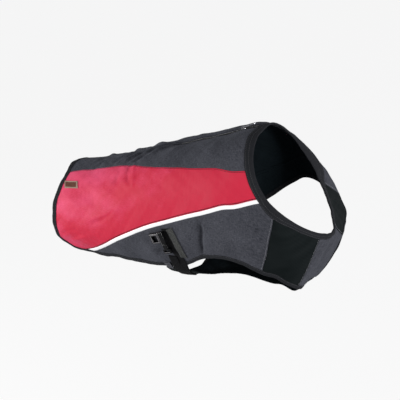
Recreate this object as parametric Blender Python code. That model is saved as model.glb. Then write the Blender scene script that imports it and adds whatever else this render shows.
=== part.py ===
"""Dog coat, filled out as on a dog, standing as it hangs on a wearer.

Frame: +X to the neck, +Y to the far side, +Z up, metres. The origin is in the
cloth on the spine at the neck edge, where the wearer's shoulders carry the coat.

The cloth is described on one curved form. A place on it has two coordinates:
  along   millimetres along the spine, 0 at the rump, 485 at the neck edge
  share   part of the half girth, 0 on the spine, 1 on the chest line;
          the near side (-Y) has negative shares
Panels, bindings and straps are all laid out in these two coordinates.
"""
import bpy
import bmesh
import numpy as np
from collections import namedtuple
from math import cos, hypot, pi, radians, sin
from mathutils import Matrix, Vector

MM = 0.001

# ---- driving sizes, millimetres ------------------------------------------------
CLOTH_WALL = 1.8
BINDING_WALL = 3.0
HEM_WALL = 2.8
PIPING_WALL = 2.6
SEAM_GAP = 0.3
BINDING_GAP = 0.7
AIR_UNDER = 0.35
HEM_BINDING_WIDTH = 8.0
PIPING_WIDTH = 7.0
TAPE_WIDTH = 14.0
TAPE_WALL = 1.3
STRAP_WIDTH = 18.0
STRAP_WALL = 1.8
STRAP_AT_HEM = 300
ZIP_END = 290
ZIP_POINT = 14
ZIP_SLOT_HALF = 3.2
LABEL_WALL = 1.0

# ---- sections of the filled-out form, rump to neck --------------------------------
# spine and chest: x, z of the section's two ends; half: half width; wide: height share
# of the widest place; top, low: squareness above and below it, 2 for an ellipse;
# bow: how far the sides lie ahead of the line from spine to chest;
# gather: how far equal shares are pushed towards the chest at mid height
Section = namedtuple("Section", "along spine_x spine_z chest_x chest_z near_half near_wide near_top near_low "
                                "far_half far_wide far_top far_low bow gather")
SECTIONS = [
    Section(0, -480, -88, -470, -244, 73, 0.52, 2.0, 2.0, 73, 0.52, 2.0, 2.0, 0, 0),
    Section(55, -427, -79, -415, -256, 80, 0.52, 2.0, 2.0, 80, 0.52, 2.0, 2.0, 0, 0),
    Section(130, -352, -70, -340, -268, 88, 0.52, 2.0, 2.0, 88, 0.52, 2.0, 2.0, 0, 0),
    Section(220, -262, -53, -255, -280, 94, 0.53, 2.6, 2.0, 94, 0.53, 2.6, 2.0, 0, 0),
    Section(300, -184, -36, -165, -286, 101, 0.54, 2.7, 2.0, 101, 0.54, 2.7, 2.0, 0, 0),
    Section(370, -115, -21, -80, -287, 107, 0.54, 2.5, 2.0, 115, 0.55, 2.1, 2.1, 0, 0),
    Section(425, -60, -10, -5, -298, 112, 0.52, 2.6, 2.1, 136, 0.56, 2.0, 2.2, 0, 0),
    Section(455, -30, -4, 38, -306, 107, 0.47, 2.8, 2.2, 151, 0.52, 2.1, 2.8, 0, 0.02),
    Section(474, -8, -1, 78, -246, 100, 0.43, 2.5, 2.3, 147, 0.68, 1.58, 3.2, 0, 0.07),
    Section(485, 8, 0, 106, -190, 99, 0.47, 2.0, 1.64, 76, 0.48, 1.8, 1.4, -16, 0.13),
]
NECK_EDGE = SECTIONS[-1].along
HALF_RING_STEPS = 48
SHARE_STEPS = 200
MEAN_HALF_GIRTH = 360.0
MOVE_STEPS = 3

# ---- the coat's large folds --------------------------------------------------------
# each is a straight ridge (height > 0) or trough from one place to another
Fold = namedtuple("Fold", "along_0 share_0 along_1 share_1 width height")
FOLDS = [
    Fold(286, 0.000, 478, 0.000, 13, -5.0),
    Fold(296, -0.048, 478, -0.048, 13, -3.5),
    Fold(296, 0.050, 478, 0.050, 12, 1.5),
    Fold(276, 0.020, 226, -0.135, 9, 4.5),
    Fold(252, 0.000, 212, -0.135, 8, -3.5),
    Fold(200, -0.010, 168, -0.100, 9, 3.0),
    Fold(379, -0.478, 362, -0.645, 9, -4.0),
    Fold(389, -0.480, 378, -0.640, 8, 2.0),
    Fold(30, -0.680, 92, -0.540, 9, 2.5),
    Fold(140, -0.470, 226, -0.380, 10, 2.5),
    Fold(262, 0.030, 216, 0.150, 9, 4.0),
    Fold(196, 0.020, 160, 0.120, 9, -2.5),
    Fold(372, 0.420, 360, 0.520, 10, -4.0),
    Fold(60, 0.640, 120, 0.520, 10, 2.5),
    Fold(150, 0.460, 232, 0.390, 11, -2.0),
    Fold(438, -0.500, 448, -0.600, 12, 2.5),
    Fold(456, -0.940, 456, -1.060, 12, -4.5),
    Fold(434, -0.930, 434, -1.070, 15, -7.0),
    Fold(360, -0.860, 360, -1.140, 48, -9.0),
    Fold(16, -0.795, 130, -0.795, 18, 3.5),
    Fold(110, -0.790, 256, -0.764, 18, 3.5),
    Fold(16, 0.795, 130, 0.795, 18, 3.5),
    Fold(110, 0.790, 256, 0.764, 18, 3.5),
]

# ---- seams and edges, as places along / share --------------------------------------
RUMP_AND_HEM = [(52, 0.0), (52.4, 0.030), (54.5, 0.070), (57.5, 0.126), (52, 0.243), (40, 0.364), (31, 0.485),
                (23, 0.607), (22, 0.705), (36, 0.785), (66, 0.803), (106, 0.785), (164, 0.762), (216, 0.758),
                (262, 0.763), (300, 0.750)]
NEAR_LEG_EDGE = [(318, 0.732), (335, 0.708), (351, 0.682), (367, 0.665), (389, 0.651), (409, 0.651),
                 (429, 0.661), (446, 0.678), (456, 0.715), (460, 0.780), (461, 0.850), (460, 0.935)]
FAR_LEG_EDGE = [(318, 0.728), (335, 0.690), (351, 0.642), (365, 0.605), (379, 0.574), (395, 0.547),
                (413, 0.514), (429, 0.486), (445, 0.462), (456, 0.462), (465, 0.500),
                (471, 0.565), (474, 0.650), (474, 0.735), (470, 0.810), (464, 0.875), (460, 0.935)]
NECK_SEAM = [(474.5, 0.0), (473.5, 0.070), (473.5, 0.140), (472.5, 0.205), (471.5, 0.250),
             (471.3, 0.300), (472.5, 0.350), (475.2, 0.406), (479.0, 0.473), (482.2, 0.560),
             (483.1, 0.670), (483.3, 0.840), (483.2, 1.0)]
FAR_NECK_SEAM = [(474.5, 0.0), (475.0, 0.070), (475.5, 0.140), (475.5, 0.205), (475.5, 0.250),
                 (476.3, 0.300), (478.0, 0.350), (480.4, 0.406), (482.7, 0.473), (483.8, 0.560),
                 (483.9, 0.670), (483.8, 0.760), (483.6, 0.840), (483.3, 0.920), (483.2, 1.0)]
RED_TOP_SEAM = [(30, 0.155), (62, 0.146), (116, 0.130), (170, 0.142), (220, 0.163), (279, 0.201),
                (337, 0.222), (393, 0.240), (443, 0.247), (469, 0.253), (484.8, 0.259)]
PIPING_LINE = [(36, 0.860), (84, 0.778), (120, 0.706), (164, 0.628), (224, 0.552), (273, 0.504),
               (319, 0.474), (361, 0.449), (403, 0.424), (441, 0.393), (461, 0.380), (474, 0.382),
               (484, 0.388)]
FAR_PIPING_LINE = PIPING_LINE[:8] + [(441, 0.380), (461, 0.352), (474, 0.340), (481, 0.335), (484.6, 0.332)]
FLANK_SEAM = [(484.8, 0.440), (479, 0.481), (469, 0.546), (461, 0.611), (451, 0.674), (446, 0.705)]
FAR_FLANK_SEAM = [(484.8, 0.484), (482, 0.495), (476, 0.508), (470, 0.520), (462, 0.532)]
CHEST_SEAM = [(484.8, 0.832), (483, 0.837), (478, 0.846), (471, 0.858), (463, 0.868), (456, 0.880)]
FAR_CHEST_SEAM = [(484.8, 0.834), (483, 0.822), (480, 0.785), (476.5, 0.745), (473, 0.720), (470, 0.700)]
BELLY_FRONT = 461.4
BELLY_EDGE = [(461.4, 0.944), (451, 0.952), (438, 0.962), (410, 0.956), (375, 0.945), (350, 0.905), (333, 0.845),
              (318, 0.790), (298, 0.772), (266, 0.790)]
FAR_BELLY_EDGE = [(461.4, 0.944), (451, 0.950), (438, 0.953), (410, 0.920), (370, 0.884), (335, 0.868), (310, 0.868),
                  (294, 0.905)]
BELLY_REAR = [(266, -0.790), (270, -0.900), (280, -1.000), (294, -1.095)]
TAPE_LINE = [(314, 0.512), (318, 0.548), (323, 0.600), (325, 0.640), (325, 0.668)]
STRAP_LINE = [(303, 0.662), (302, 0.700), (298, 0.750), (294, 0.800), (291, 0.870), (290, 0.950), (290, 1.0)]
BUCKLE_TOP, BUCKLE_FOOT = (297, 0.521), (303, 0.645)

# ---- lookup of the form ----------------------------------------------------------------


def smooth(knots, values, x):
    """Cubic curve through the knots, with slopes taken from their neighbours."""
    knots = np.asarray(knots, float)
    values = np.asarray(values, float)
    slope = np.diff(values) / np.diff(knots)
    gap = np.diff(knots)
    tangent = np.empty(len(knots))
    tangent[1:-1] = (slope[:-1] * gap[1:] + slope[1:] * gap[:-1]) / (gap[1:] + gap[:-1])
    tangent[0] = 1.5 * slope[0] - 0.5 * tangent[1]
    tangent[-1] = 1.5 * slope[-1] - 0.5 * tangent[-2]
    x = min(max(x, knots[0]), knots[-1])
    i = min(max(int(np.searchsorted(knots, x, side="right")) - 1, 0), len(knots) - 2)
    t = (x - knots[i]) / gap[i]
    return ((2 * t**3 - 3 * t**2 + 1) * values[i] + (t**3 - 2 * t**2 + t) * gap[i] * tangent[i]
            + (-2 * t**3 + 3 * t**2) * values[i + 1] + (t**3 - t**2) * gap[i] * tangent[i + 1])


def half_ring(along, side):
    """One half section from spine to chest line, at equal steps of share."""
    knots = [s.along for s in SECTIONS]
    cut = Section(*(smooth(knots, column, along) for column in zip(*SECTIONS)))
    half, wide, top, low = cut[9:13] if side > 0 else cut[5:9]
    angle = np.linspace(0, pi / 2, HALF_RING_STEPS + 1)
    out = np.r_[np.sin(angle) ** (2 / top), np.cos(angle[1:]) ** (2 / low)]
    down = np.r_[wide * (1 - np.cos(angle) ** (2 / top)), wide + (1 - wide) * np.sin(angle[1:]) ** (2 / low)]
    points = np.stack([cut.spine_x + (cut.chest_x - cut.spine_x) * down + cut.bow * out**2, side * half * out,
                       cut.spine_z + (cut.chest_z - cut.spine_z) * down], -1)
    reach = np.r_[0, np.cumsum(np.linalg.norm(np.diff(points, axis=0), axis=1))]
    share = np.linspace(0, 1, SHARE_STEPS + 1)
    wanted = reach[-1] * (share + cut.gather * np.sin(pi * share))
    return np.stack([np.interp(wanted, reach, points[:, k]) for k in range(3)], -1)


FORM = {side: np.array([half_ring(along, side) for along in range(NECK_EDGE + 1)]) for side in (-1, 1)}


def form_point(along, share):
    """Place on the smooth form; a share past the chest line goes on to the other side."""
    share = (share + 1) % 2 - 1
    table = FORM[1 if share >= 0 else -1]
    along = min(max(along, 0.0), float(NECK_EDGE))
    i, j = min(int(along), NECK_EDGE - 1), min(int(abs(share) * SHARE_STEPS), SHARE_STEPS - 1)
    u, v = along - i, abs(share) * SHARE_STEPS - j
    return ((1 - u) * ((1 - v) * table[i, j] + v * table[i, j + 1])
            + u * ((1 - v) * table[i + 1, j] + v * table[i + 1, j + 1]))


def steps_at(along, share):
    """Change of the form's place per millimetre along and per unit of share."""
    along = min(max(along, 1.0), NECK_EDGE - 1.0)
    before, after = along - 1.0, along + 1.0
    step_along = (form_point(after, share) - form_point(before, share)) / (after - before)
    step_share = (form_point(along, share + 0.006) - form_point(along, share - 0.006)) / 0.012
    return step_along, step_share


def outward(along, share):
    step_along, step_share = steps_at(along, share)
    normal = np.cross(step_along, step_share)
    return normal / np.linalg.norm(normal)


def fold_height(along, share):
    """Height of all folds at a place, measured in millimetres on the flat cloth."""
    here = np.array([along, share * MEAN_HALF_GIRTH])
    height = 0.0
    for fold in FOLDS:
        start = np.array([fold.along_0, fold.share_0 * MEAN_HALF_GIRTH])
        run = np.array([fold.along_1, fold.share_1 * MEAN_HALF_GIRTH]) - start
        t = float(np.dot(here - start, run) / np.dot(run, run))
        off = np.linalg.norm(here - start - run * min(max(t, 0), 1))
        fade = sin(pi * min(max(0.15 + 0.7 * t, 0), 1))
        height += fold.height * fade * np.exp(-(off / fold.width) ** 2)
    return height


def cloth_point(along, share, lift=0.0):
    return form_point(along, share) + outward(along, share) * (fold_height(along, share) + lift)


# ---- curves over the cloth ---------------------------------------------------------------


def curve(rows, side=1):
    """Function of t in 0..1 that runs smoothly through the rows, on one side of the coat."""
    rows = [(along, side * share) for along, share in rows]
    legs = [hypot(b[0] - a[0], (b[1] - a[1]) * MEAN_HALF_GIRTH) for a, b in zip(rows, rows[1:])]
    knots = np.r_[0, np.cumsum(legs)] / sum(legs)

    def place(t):
        return (smooth(knots, [r[0] for r in rows], t), smooth(knots, [r[1] for r in rows], t))
    return place


def part_of(path, start, end):
    return lambda t: path(start + (end - start) * t)


def evenly(path, samples=200):
    """The same curve with a parameter that runs evenly along it in space."""
    ts = np.linspace(0, 1, samples + 1)
    points = np.array([form_point(*path(t)) for t in ts])
    reach = np.r_[0, np.cumsum(np.linalg.norm(np.diff(points, axis=0), axis=1))]
    return lambda t: path(float(np.interp(t * reach[-1], reach, ts)))


def crowded(path, amount):
    """The same curve with its parameter pushed on, so that equal steps are shorter near its end."""
    return lambda t: path(t + amount * sin(pi * t))


def backwards(path):
    return lambda t: path(1 - t)


def where_they_meet(path_a, path_b, samples=160):
    """Parameters of the crossing of two curves on the flat cloth."""
    scale = np.array([1, MEAN_HALF_GIRTH])
    ts = np.linspace(0, 1, samples + 1)
    a = np.array([path_a(t) for t in ts]) * scale
    b = np.array([path_b(t) for t in ts]) * scale
    run_a, run_b = np.diff(a, axis=0)[:, None], np.diff(b, axis=0)[None]
    gap = b[None, :-1] - a[:-1, None]
    det = run_b[..., 0] * run_a[..., 1] - run_a[..., 0] * run_b[..., 1]
    det[abs(det) < 1e-12] = np.inf
    u = (run_b[..., 0] * gap[..., 1] - gap[..., 0] * run_b[..., 1]) / det
    v = (run_a[..., 0] * gap[..., 1] - run_a[..., 1] * gap[..., 0]) / det
    hits = np.argwhere((u >= 0) & (u <= 1) & (v >= 0) & (v <= 1))
    if not len(hits):
        raise ValueError("the two curves do not cross")
    i, j = hits[0]
    return (i + u[i, j]) / samples, (j + v[i, j]) / samples


def moved_in(path, width, inside, samples=120):
    """The curve at a distance from a path, measured on the cloth, with the path's own parameter.

    width is a number or a function of t; inside is +1 or -1, the side of the path.
    """
    rows = []
    for k in range(samples + 1):
        t = k / samples
        along, share = path(t)
        before, after = path(max(t - 0.004, 0)), path(min(t + 0.004, 1))
        travel = np.array([after[0] - before[0], after[1] - before[1]])
        total = width(t) if callable(width) else width
        for _ in range(MOVE_STEPS):
            grid = np.stack(steps_at(along, share), -1)
            tangent = grid @ travel
            tangent /= np.linalg.norm(tangent)
            across = np.cross(outward(along, share), tangent) * inside
            step = np.linalg.lstsq(grid, across, rcond=None)[0] * total / MOVE_STEPS
            along, share = along + step[0], share + step[1]
        rows.append((along, share))
    ts = np.linspace(0, 1, samples + 1)
    alongs, shares = zip(*rows)
    return lambda t: (float(np.interp(t, ts, alongs)), float(np.interp(t, ts, shares)))


def flat_length(places):
    return sum(hypot(b[0] - a[0], (b[1] - a[1]) * MEAN_HALF_GIRTH) for a, b in zip(places, places[1:]))


def joined(*places):
    """Straight runs on the flat cloth from place to place."""
    legs = [hypot(b[0] - a[0], (b[1] - a[1]) * MEAN_HALF_GIRTH) for a, b in zip(places, places[1:])]
    knots = np.r_[0, np.cumsum(legs)] / sum(legs)
    alongs, shares = zip(*places)
    return lambda t: (float(np.interp(t, knots, alongs)), float(np.interp(t, knots, shares)))


def patch(low, high, start, end, rows, columns):
    """Grid of places inside four curves: low and high run start to end, start and end low to high.

    columns is a count, or a list of the shares of the way from low to high.
    """
    across = [j / columns for j in range(columns + 1)] if isinstance(columns, int) else columns
    grid = []
    for i in range(rows + 1):
        t = i / rows
        line = []
        for v in across:
            place = []
            for k in range(2):
                ruled = (1 - v) * low(t)[k] + v * high(t)[k] + (1 - t) * start(v)[k] + t * end(v)[k]
                corners = ((1 - t) * ((1 - v) * low(0)[k] + v * high(0)[k])
                           + t * ((1 - v) * low(1)[k] + v * high(1)[k]))
                place.append(ruled - corners)
            line.append(tuple(place))
        grid.append(line)
    return grid


# ---- solids ---------------------------------------------------------------------------------


def finished(name, mesh, colour, roughness=0.85, metallic=0.0):
    material = bpy.data.materials.new(name + "_finish")
    material.use_nodes = True
    shader = material.node_tree.nodes["Principled BSDF"]
    shader.inputs["Base Color"].default_value = (*colour, 1)
    shader.inputs["Roughness"].default_value = roughness
    shader.inputs["Metallic"].default_value = metallic
    mesh.materials.append(material)
    piece = bpy.data.objects.new(name, mesh)
    bpy.context.collection.objects.link(piece)
    return piece


def mesh_from(name, points, faces):
    """Closed mesh with its faces pointing out; points in millimetres."""
    mesh = bpy.data.meshes.new(name)
    mesh.from_pydata([Vector(p) * MM for p in points], [], faces)
    form = bmesh.new()
    form.from_mesh(mesh)
    bmesh.ops.recalc_face_normals(form, faces=form.faces)
    if form.calc_volume(signed=True) < 0:
        bmesh.ops.reverse_faces(form, faces=form.faces)
    form.to_mesh(mesh)
    form.free()
    mesh.shade_smooth()
    mesh.set_sharp_from_angle(angle=radians(40))
    return mesh


def drawn_in(sheet, gap):
    """Moves the border of a sheet of points inwards, square to the border, so that a seam stays open."""
    moved = sheet.copy()
    for turn in (False, True):
        source, target = (sheet.transpose(1, 0, 2), moved.transpose(1, 0, 2)) if turn else (sheet, moved)
        for row, inner in ((0, 1), (-1, -2)):
            border = np.gradient(source[row], axis=0)
            border /= np.linalg.norm(border, axis=1, keepdims=True)
            step = source[inner] - source[row]
            step -= border * np.sum(step * border, axis=1, keepdims=True)
            target[row] += step / np.linalg.norm(step, axis=1, keepdims=True) * gap
    return moved


def cloth_wall(name, grid, colour, wall=CLOTH_WALL, lift=0.0, removed=()):
    """Wall of cloth over a grid of places; the cells in removed are left open."""
    rows, columns = len(grid) - 1, len(grid[0]) - 1
    layers = []
    for height in (lift + wall / 2, lift - wall / 2):
        sheet = np.array([[cloth_point(*place, height) for place in line] for line in grid])
        layers.append(drawn_in(sheet, SEAM_GAP / 2))
    index = {}
    points = []

    def point_of(layer, i, j):
        key = (layer, i, j)
        if key not in index:
            index[key] = len(points)
            points.append(layers[layer][i, j])
        return index[key]

    kept = {(i, j) for i in range(rows) for j in range(columns)} - set(removed)
    faces = []
    for i, j in sorted(kept):
        corners = [(i, j), (i + 1, j), (i + 1, j + 1), (i, j + 1)]
        faces.append([point_of(0, *c) for c in corners])
        faces.append([point_of(1, *c) for c in reversed(corners)])
        beyond = [(i, j - 1), (i + 1, j), (i, j + 1), (i - 1, j)]
        for side, neighbour in enumerate(beyond):
            if neighbour not in kept:
                a, b = corners[side], corners[(side + 1) % 4]
                faces.append([point_of(0, *b), point_of(0, *a), point_of(1, *a), point_of(1, *b)])
    return finished(name, mesh_from(name, points, faces), colour)


def edge_roll(wall):
    """Profile of a folded binding: share of its width from the free edge, and lift."""
    half = wall / 2
    return [(0.0, 0.0), (0.06, half * 0.75), (0.25, half), (0.62, half), (1.0, half),
            (1.0, -half), (0.62, -half), (0.25, -half), (0.06, -half * 0.75)]


def flat_band(wall, lift=0.0):
    """Profile of a woven band with a point in its middle, so that it follows the form."""
    half = wall / 2
    return [(0.0, lift + half), (0.5, lift + half), (1.0, lift + half),
            (1.0, lift - half), (0.5, lift - half), (0.0, lift - half)]


def strip(name, edge, other, samples, profile, colour, closed=False, roughness=0.85):
    """Loft of a profile between two curves over the cloth."""
    count = samples if closed else samples + 1
    size = len(profile)
    points = []
    for k in range(count):
        a, b = edge(k / samples), other(k / samples)
        for share_across, lift in profile:
            place = [a[n] + (b[n] - a[n]) * share_across for n in range(2)]
            points.append(cloth_point(*place, lift))
    points = np.array(points).reshape(count, size, 3)
    if not closed:
        for k, inner in ((0, 1), (count - 1, count - 2)):
            step = points[inner] - points[k]
            points[k] += step / np.linalg.norm(step, axis=1, keepdims=True) * SEAM_GAP / 2
    points = points.reshape(-1, 3)
    faces = []
    for k in range(samples):
        here, ahead = k * size, ((k + 1) % count) * size
        for n in range(size):
            m = (n + 1) % size
            faces.append([here + n, here + m, ahead + m, ahead + n])
    if not closed:
        faces.append(list(range(size)))
        faces.append([(count - 1) * size + n for n in reversed(range(size))])
    return finished(name, mesh_from(name, points, faces), colour, roughness)


# ---- colours --------------------------------------------------------------------------------
CHARCOAL = (0.078, 0.080, 0.095)
RED = (0.70, 0.052, 0.100)
STRETCH_BLACK = (0.011, 0.013, 0.014)
BINDING_BLACK = (0.027, 0.027, 0.031)
WEBBING_GREY = (0.047, 0.048, 0.052)
PIPING_WHITE = (0.86, 0.86, 0.86)
PLASTIC_BLACK = (0.015, 0.015, 0.016)
ZIP_METAL = (0.30, 0.31, 0.33)
LABEL_TAN = (0.30, 0.16, 0.10)

NEAR, FAR = -1, 1
SIDE_NAME = {NEAR: "near", FAR: "far"}


for old in list(bpy.data.objects):
    bpy.data.objects.remove(old)

# ---- neck binding: one ring of folded tape round the whole neck edge ------------------------
NECK_SAMPLES = 76


def neck_edge(t):
    """Neck edge from the chest line over the near side, the spine and the far side."""
    return NECK_EDGE, -1 + 2 * t


def neck_seam_whole(t):
    rows = NECK_SEAM if t < 0.5 else FAR_NECK_SEAM
    return smooth([share for _, share in rows], [along for along, _ in rows], abs(2 * t - 1)), 2 * t - 1


def neck_seam(side):
    """Lower edge of the neck binding on one side, from the spine to the chest line."""
    return lambda t: neck_seam_whole(0.5 + side * t / 2)


strip("neck_binding", neck_edge, moved_in(neck_seam_whole, BINDING_GAP, inside=-1, samples=NECK_SAMPLES * 2),
      NECK_SAMPLES, edge_roll(BINDING_WALL), BINDING_BLACK, closed=True)

# ---- rump and leg bindings: narrow tape folded over the free edge ------------------------------
# The free edge of a side runs from the spine round the rump, along the lower hem and the top of
# the leg hole to the chest panel. The rump binding is one tape over both sides as far as the
# girth strap; from there each leg hole has its own.
RUMP_SAMPLES = 72
LEG_SAMPLES = 44
LEG_ROWS = {NEAR: NEAR_LEG_EDGE, FAR: FAR_LEG_EDGE}
free_edge = {}
free_seam = {}
binding_foot = {}
at_strap = {}
for side in (NEAR, FAR):
    free_edge[side] = curve(RUMP_AND_HEM + LEG_ROWS[side], side)
    free_seam[side] = moved_in(free_edge[side], HEM_BINDING_WIDTH, inside=-side, samples=240)
    binding_foot[side] = moved_in(free_edge[side], HEM_BINDING_WIDTH - BINDING_GAP, inside=-side, samples=240)
    strap_line = joined((STRAP_AT_HEM, side * 0.60), (STRAP_AT_HEM, side * 0.90))
    at_strap[side] = where_they_meet(free_edge[side], strap_line)[0]


def over_the_rump(paths):
    """One curve from the near strap over the spine to the far strap."""
    def place(t):
        side = NEAR if t < 0.5 else FAR
        return paths[side](at_strap[side] * abs(2 * t - 1))
    return place


strip("rump_binding", over_the_rump(free_edge), over_the_rump(binding_foot), RUMP_SAMPLES,
      edge_roll(HEM_WALL), BINDING_BLACK)
for side in (NEAR, FAR):
    strip("leg_binding_" + SIDE_NAME[side], part_of(free_edge[side], at_strap[side], 1),
          part_of(binding_foot[side], at_strap[side], 1), LEG_SAMPLES, edge_roll(HEM_WALL), BINDING_BLACK)

# ---- seams that run along the coat, trimmed at the bindings --------------------------------------
LENGTH_ROWS = 30
red_top = {}
piping_top = {}
piping_foot = {}
ends = {}
for side in (NEAR, FAR):
    line = curve(PIPING_LINE if side == NEAR else FAR_PIPING_LINE, side)
    whole = {"red_top": curve(RED_TOP_SEAM, side),
             "piping_top": moved_in(line, PIPING_WIDTH / 2, inside=-side),
             "piping_foot": moved_in(line, PIPING_WIDTH / 2, inside=side)}
    for name, seam in whole.items():
        from_rump, on_rump = where_they_meet(seam, free_seam[side])
        from_neck, on_neck = where_they_meet(seam, neck_seam(side))
        ends[name, side] = (on_rump, on_neck)
        whole[name] = evenly(part_of(seam, from_rump, from_neck))
    red_top[side], piping_top[side], piping_foot[side] = whole.values()

# ---- back panel: charcoal cloth over the spine, slit for the zip ---------------------------------
BACK_COLUMNS = [0, 0.1, 0.2, 0.3, 0.4, 0.47, 0.5, 0.53, 0.6, 0.7, 0.8, 0.9, 1]
SLOT_COLUMNS = (5, 7)


def between_sides(path_of_side, end_name, which):
    """The stretch of a binding seam between the near and the far end of a lengthwise seam."""
    near_end, far_end = ends[end_name, NEAR][which], ends[end_name, FAR][which]

    def place(v):
        if v < 0.5:
            return path_of_side(NEAR)(near_end * (1 - 2 * v))
        return path_of_side(FAR)(far_end * (2 * v - 1))
    return place


back_grid = patch(red_top[NEAR], red_top[FAR],
                  between_sides(lambda s: free_seam[s], "red_top", 0),
                  between_sides(neck_seam, "red_top", 1), LENGTH_ROWS, BACK_COLUMNS)
slot_cells = []
for i, line in enumerate(back_grid):
    opened = min(max((line[6][0] - ZIP_END) / ZIP_POINT, 0.12), 1)
    half = ZIP_SLOT_HALF * opened / MEAN_HALF_GIRTH
    for column, sign in zip(SLOT_COLUMNS, (NEAR, FAR)):
        line[column] = (line[column][0], sign * half)
    if i < LENGTH_ROWS and line[6][0] > ZIP_END:
        slot_cells += [(i, SLOT_COLUMNS[0]), (i, SLOT_COLUMNS[1] - 1)]
cloth_wall("back_panel", back_grid, CHARCOAL, removed=slot_cells)

# ---- side panels, piping, flank panels --------------------------------------------------------------
SIDE_COLUMNS = 10
FLANK_NECK_COLUMNS, FLANK_SEAM_COLUMNS = 4, 6
FLANK_START = 1 / LENGTH_ROWS
FLANK_CROWDING = 0.14
FLANK_TOP_GAP = 0.15
PIPING_TOP_GAP = 0.1
FLANK_SEAM_ROWS = {NEAR: FLANK_SEAM, FAR: FAR_FLANK_SEAM}
CHEST_SEAM_ROWS = {NEAR: CHEST_SEAM, FAR: FAR_CHEST_SEAM}
flank_seam = {}
chest_seam = {}
seam_ends = {}
for side in (NEAR, FAR):
    label = SIDE_NAME[side]
    rump_from, neck_from = ends["red_top", side]
    rump_to, neck_to = ends["piping_top", side]
    side_grid = patch(red_top[side], piping_top[side], part_of(free_seam[side], rump_from, rump_to),
                      part_of(neck_seam(side), neck_from, neck_to), LENGTH_ROWS, SIDE_COLUMNS)
    cloth_wall("side_panel_" + label, side_grid, RED)
    strip("piping_" + label, moved_in(piping_top[side], SEAM_GAP / 2 + PIPING_TOP_GAP, inside=side),
          moved_in(piping_foot[side], SEAM_GAP / 2, inside=-side),
          LENGTH_ROWS, flat_band(PIPING_WALL), PIPING_WHITE)

    seams = {"flank": curve(FLANK_SEAM_ROWS[side], side), "chest": curve(CHEST_SEAM_ROWS[side], side)}
    for name, seam in seams.items():
        from_neck, on_neck = where_they_meet(seam, neck_seam(side))
        from_leg, on_leg = where_they_meet(seam, free_seam[side])
        seam_ends[name, side] = (on_neck, on_leg)
        seams[name] = part_of(seam, from_neck, from_leg)
    flank_seam[side], chest_seam[side] = seams["flank"], seams["chest"]

    rump_corner, neck_corner = ends["piping_foot", side]
    on_neck, on_leg = seam_ends["flank", side]
    flank_top = part_of(moved_in(piping_foot[side], FLANK_TOP_GAP, inside=-side), FLANK_START, 1)
    first = rump_corner + FLANK_START * (on_leg - rump_corner)
    flank_low = crowded(evenly(part_of(free_seam[side], first, on_leg)), FLANK_CROWDING)
    along_neck = [part_of(neck_seam(side), neck_corner, on_neck)(k / 6) for k in range(7)]
    along_seam = [flank_seam[side](k / 6) for k in range(1, 7)]
    corner = flat_length(along_neck) / flat_length(along_neck + along_seam)
    columns = [corner * k / FLANK_NECK_COLUMNS for k in range(FLANK_NECK_COLUMNS)]
    columns += [corner + (1 - corner) * k / FLANK_SEAM_COLUMNS for k in range(FLANK_SEAM_COLUMNS + 1)]
    cloth_wall("flank_panel_" + label,
               patch(flank_top, flank_low, joined(flank_top(0), flank_low(0)), joined(*along_neck, *along_seam),
                     LENGTH_ROWS - 1, columns), CHARCOAL)

# ---- stretch panels, chest panel, belly panel ------------------------------------------------------
STRETCH_ROWS, STRETCH_COLUMNS = 12, 8
CHEST_ROWS, CHEST_COLUMNS = 12, 8
BELLY_ROWS, BELLY_COLUMNS = 18, 8
for side in (NEAR, FAR):
    (neck_from, leg_from), (neck_to, leg_to) = seam_ends["flank", side], seam_ends["chest", side]
    cloth_wall("stretch_panel_" + SIDE_NAME[side],
               patch(part_of(neck_seam(side), neck_from, neck_to), part_of(free_seam[side], leg_from, leg_to),
                     flank_seam[side], chest_seam[side], STRETCH_ROWS, STRETCH_COLUMNS), STRETCH_BLACK)


def past_the_chest(path):
    """The same curve with far shares counted on past the chest line, so that -1 is its middle."""
    def place(t):
        along, share = path(t)
        return along, share - 2 if share > 0 else share
    return place


def both_halves(near_half, far_half):
    """Curve made of one running to the chest line on the near side and one running away on the far side."""
    return lambda t: near_half(2 * t) if t < 0.5 else past_the_chest(far_half)(2 * t - 1)


def chest_foot(side):
    """Lower edge of the chest panel: the leg binding's seam, then the belly panel's front edge."""
    from_seam = part_of(free_seam[side], seam_ends["chest", side][1], 1)
    return joined(*[from_seam(k / 6) for k in range(7)], (BELLY_FRONT, side * 0.96), (BELLY_FRONT, side * 1.0))


chest_neck = both_halves(part_of(neck_seam(NEAR), seam_ends["chest", NEAR][0], 1),
                         part_of(neck_seam(FAR), 1, seam_ends["chest", FAR][0]))
chest_low = both_halves(chest_foot(NEAR), backwards(chest_foot(FAR)))
cloth_wall("chest_panel", patch(chest_neck, chest_low, chest_seam[NEAR], past_the_chest(chest_seam[FAR]),
                                CHEST_ROWS, CHEST_COLUMNS), CHARCOAL)

belly_near, belly_far = curve(BELLY_EDGE, NEAR), past_the_chest(curve(FAR_BELLY_EDGE, FAR))
cloth_wall("belly_panel", patch(belly_near, belly_far, joined(belly_near(0), belly_far(0)),
                                curve(BELLY_REAR), BELLY_ROWS, BELLY_COLUMNS), STRETCH_BLACK)

# ---- girth strap, ribbed tapes, folded strap ends ----------------------------------------------------
STRAP_SAMPLES = 44
STRAP_LIFT = HEM_WALL / 2 + AIR_UNDER + STRAP_WALL / 2
strap_middle = both_halves(curve(STRAP_LINE, NEAR), backwards(curve(STRAP_LINE, FAR)))
strip("girth_strap", moved_in(strap_middle, STRAP_WIDTH / 2, inside=1, samples=STRAP_SAMPLES * 2),
      moved_in(strap_middle, STRAP_WIDTH / 2, inside=-1, samples=STRAP_SAMPLES * 2),
      STRAP_SAMPLES, flat_band(STRAP_WALL, STRAP_LIFT), STRETCH_BLACK)

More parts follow.
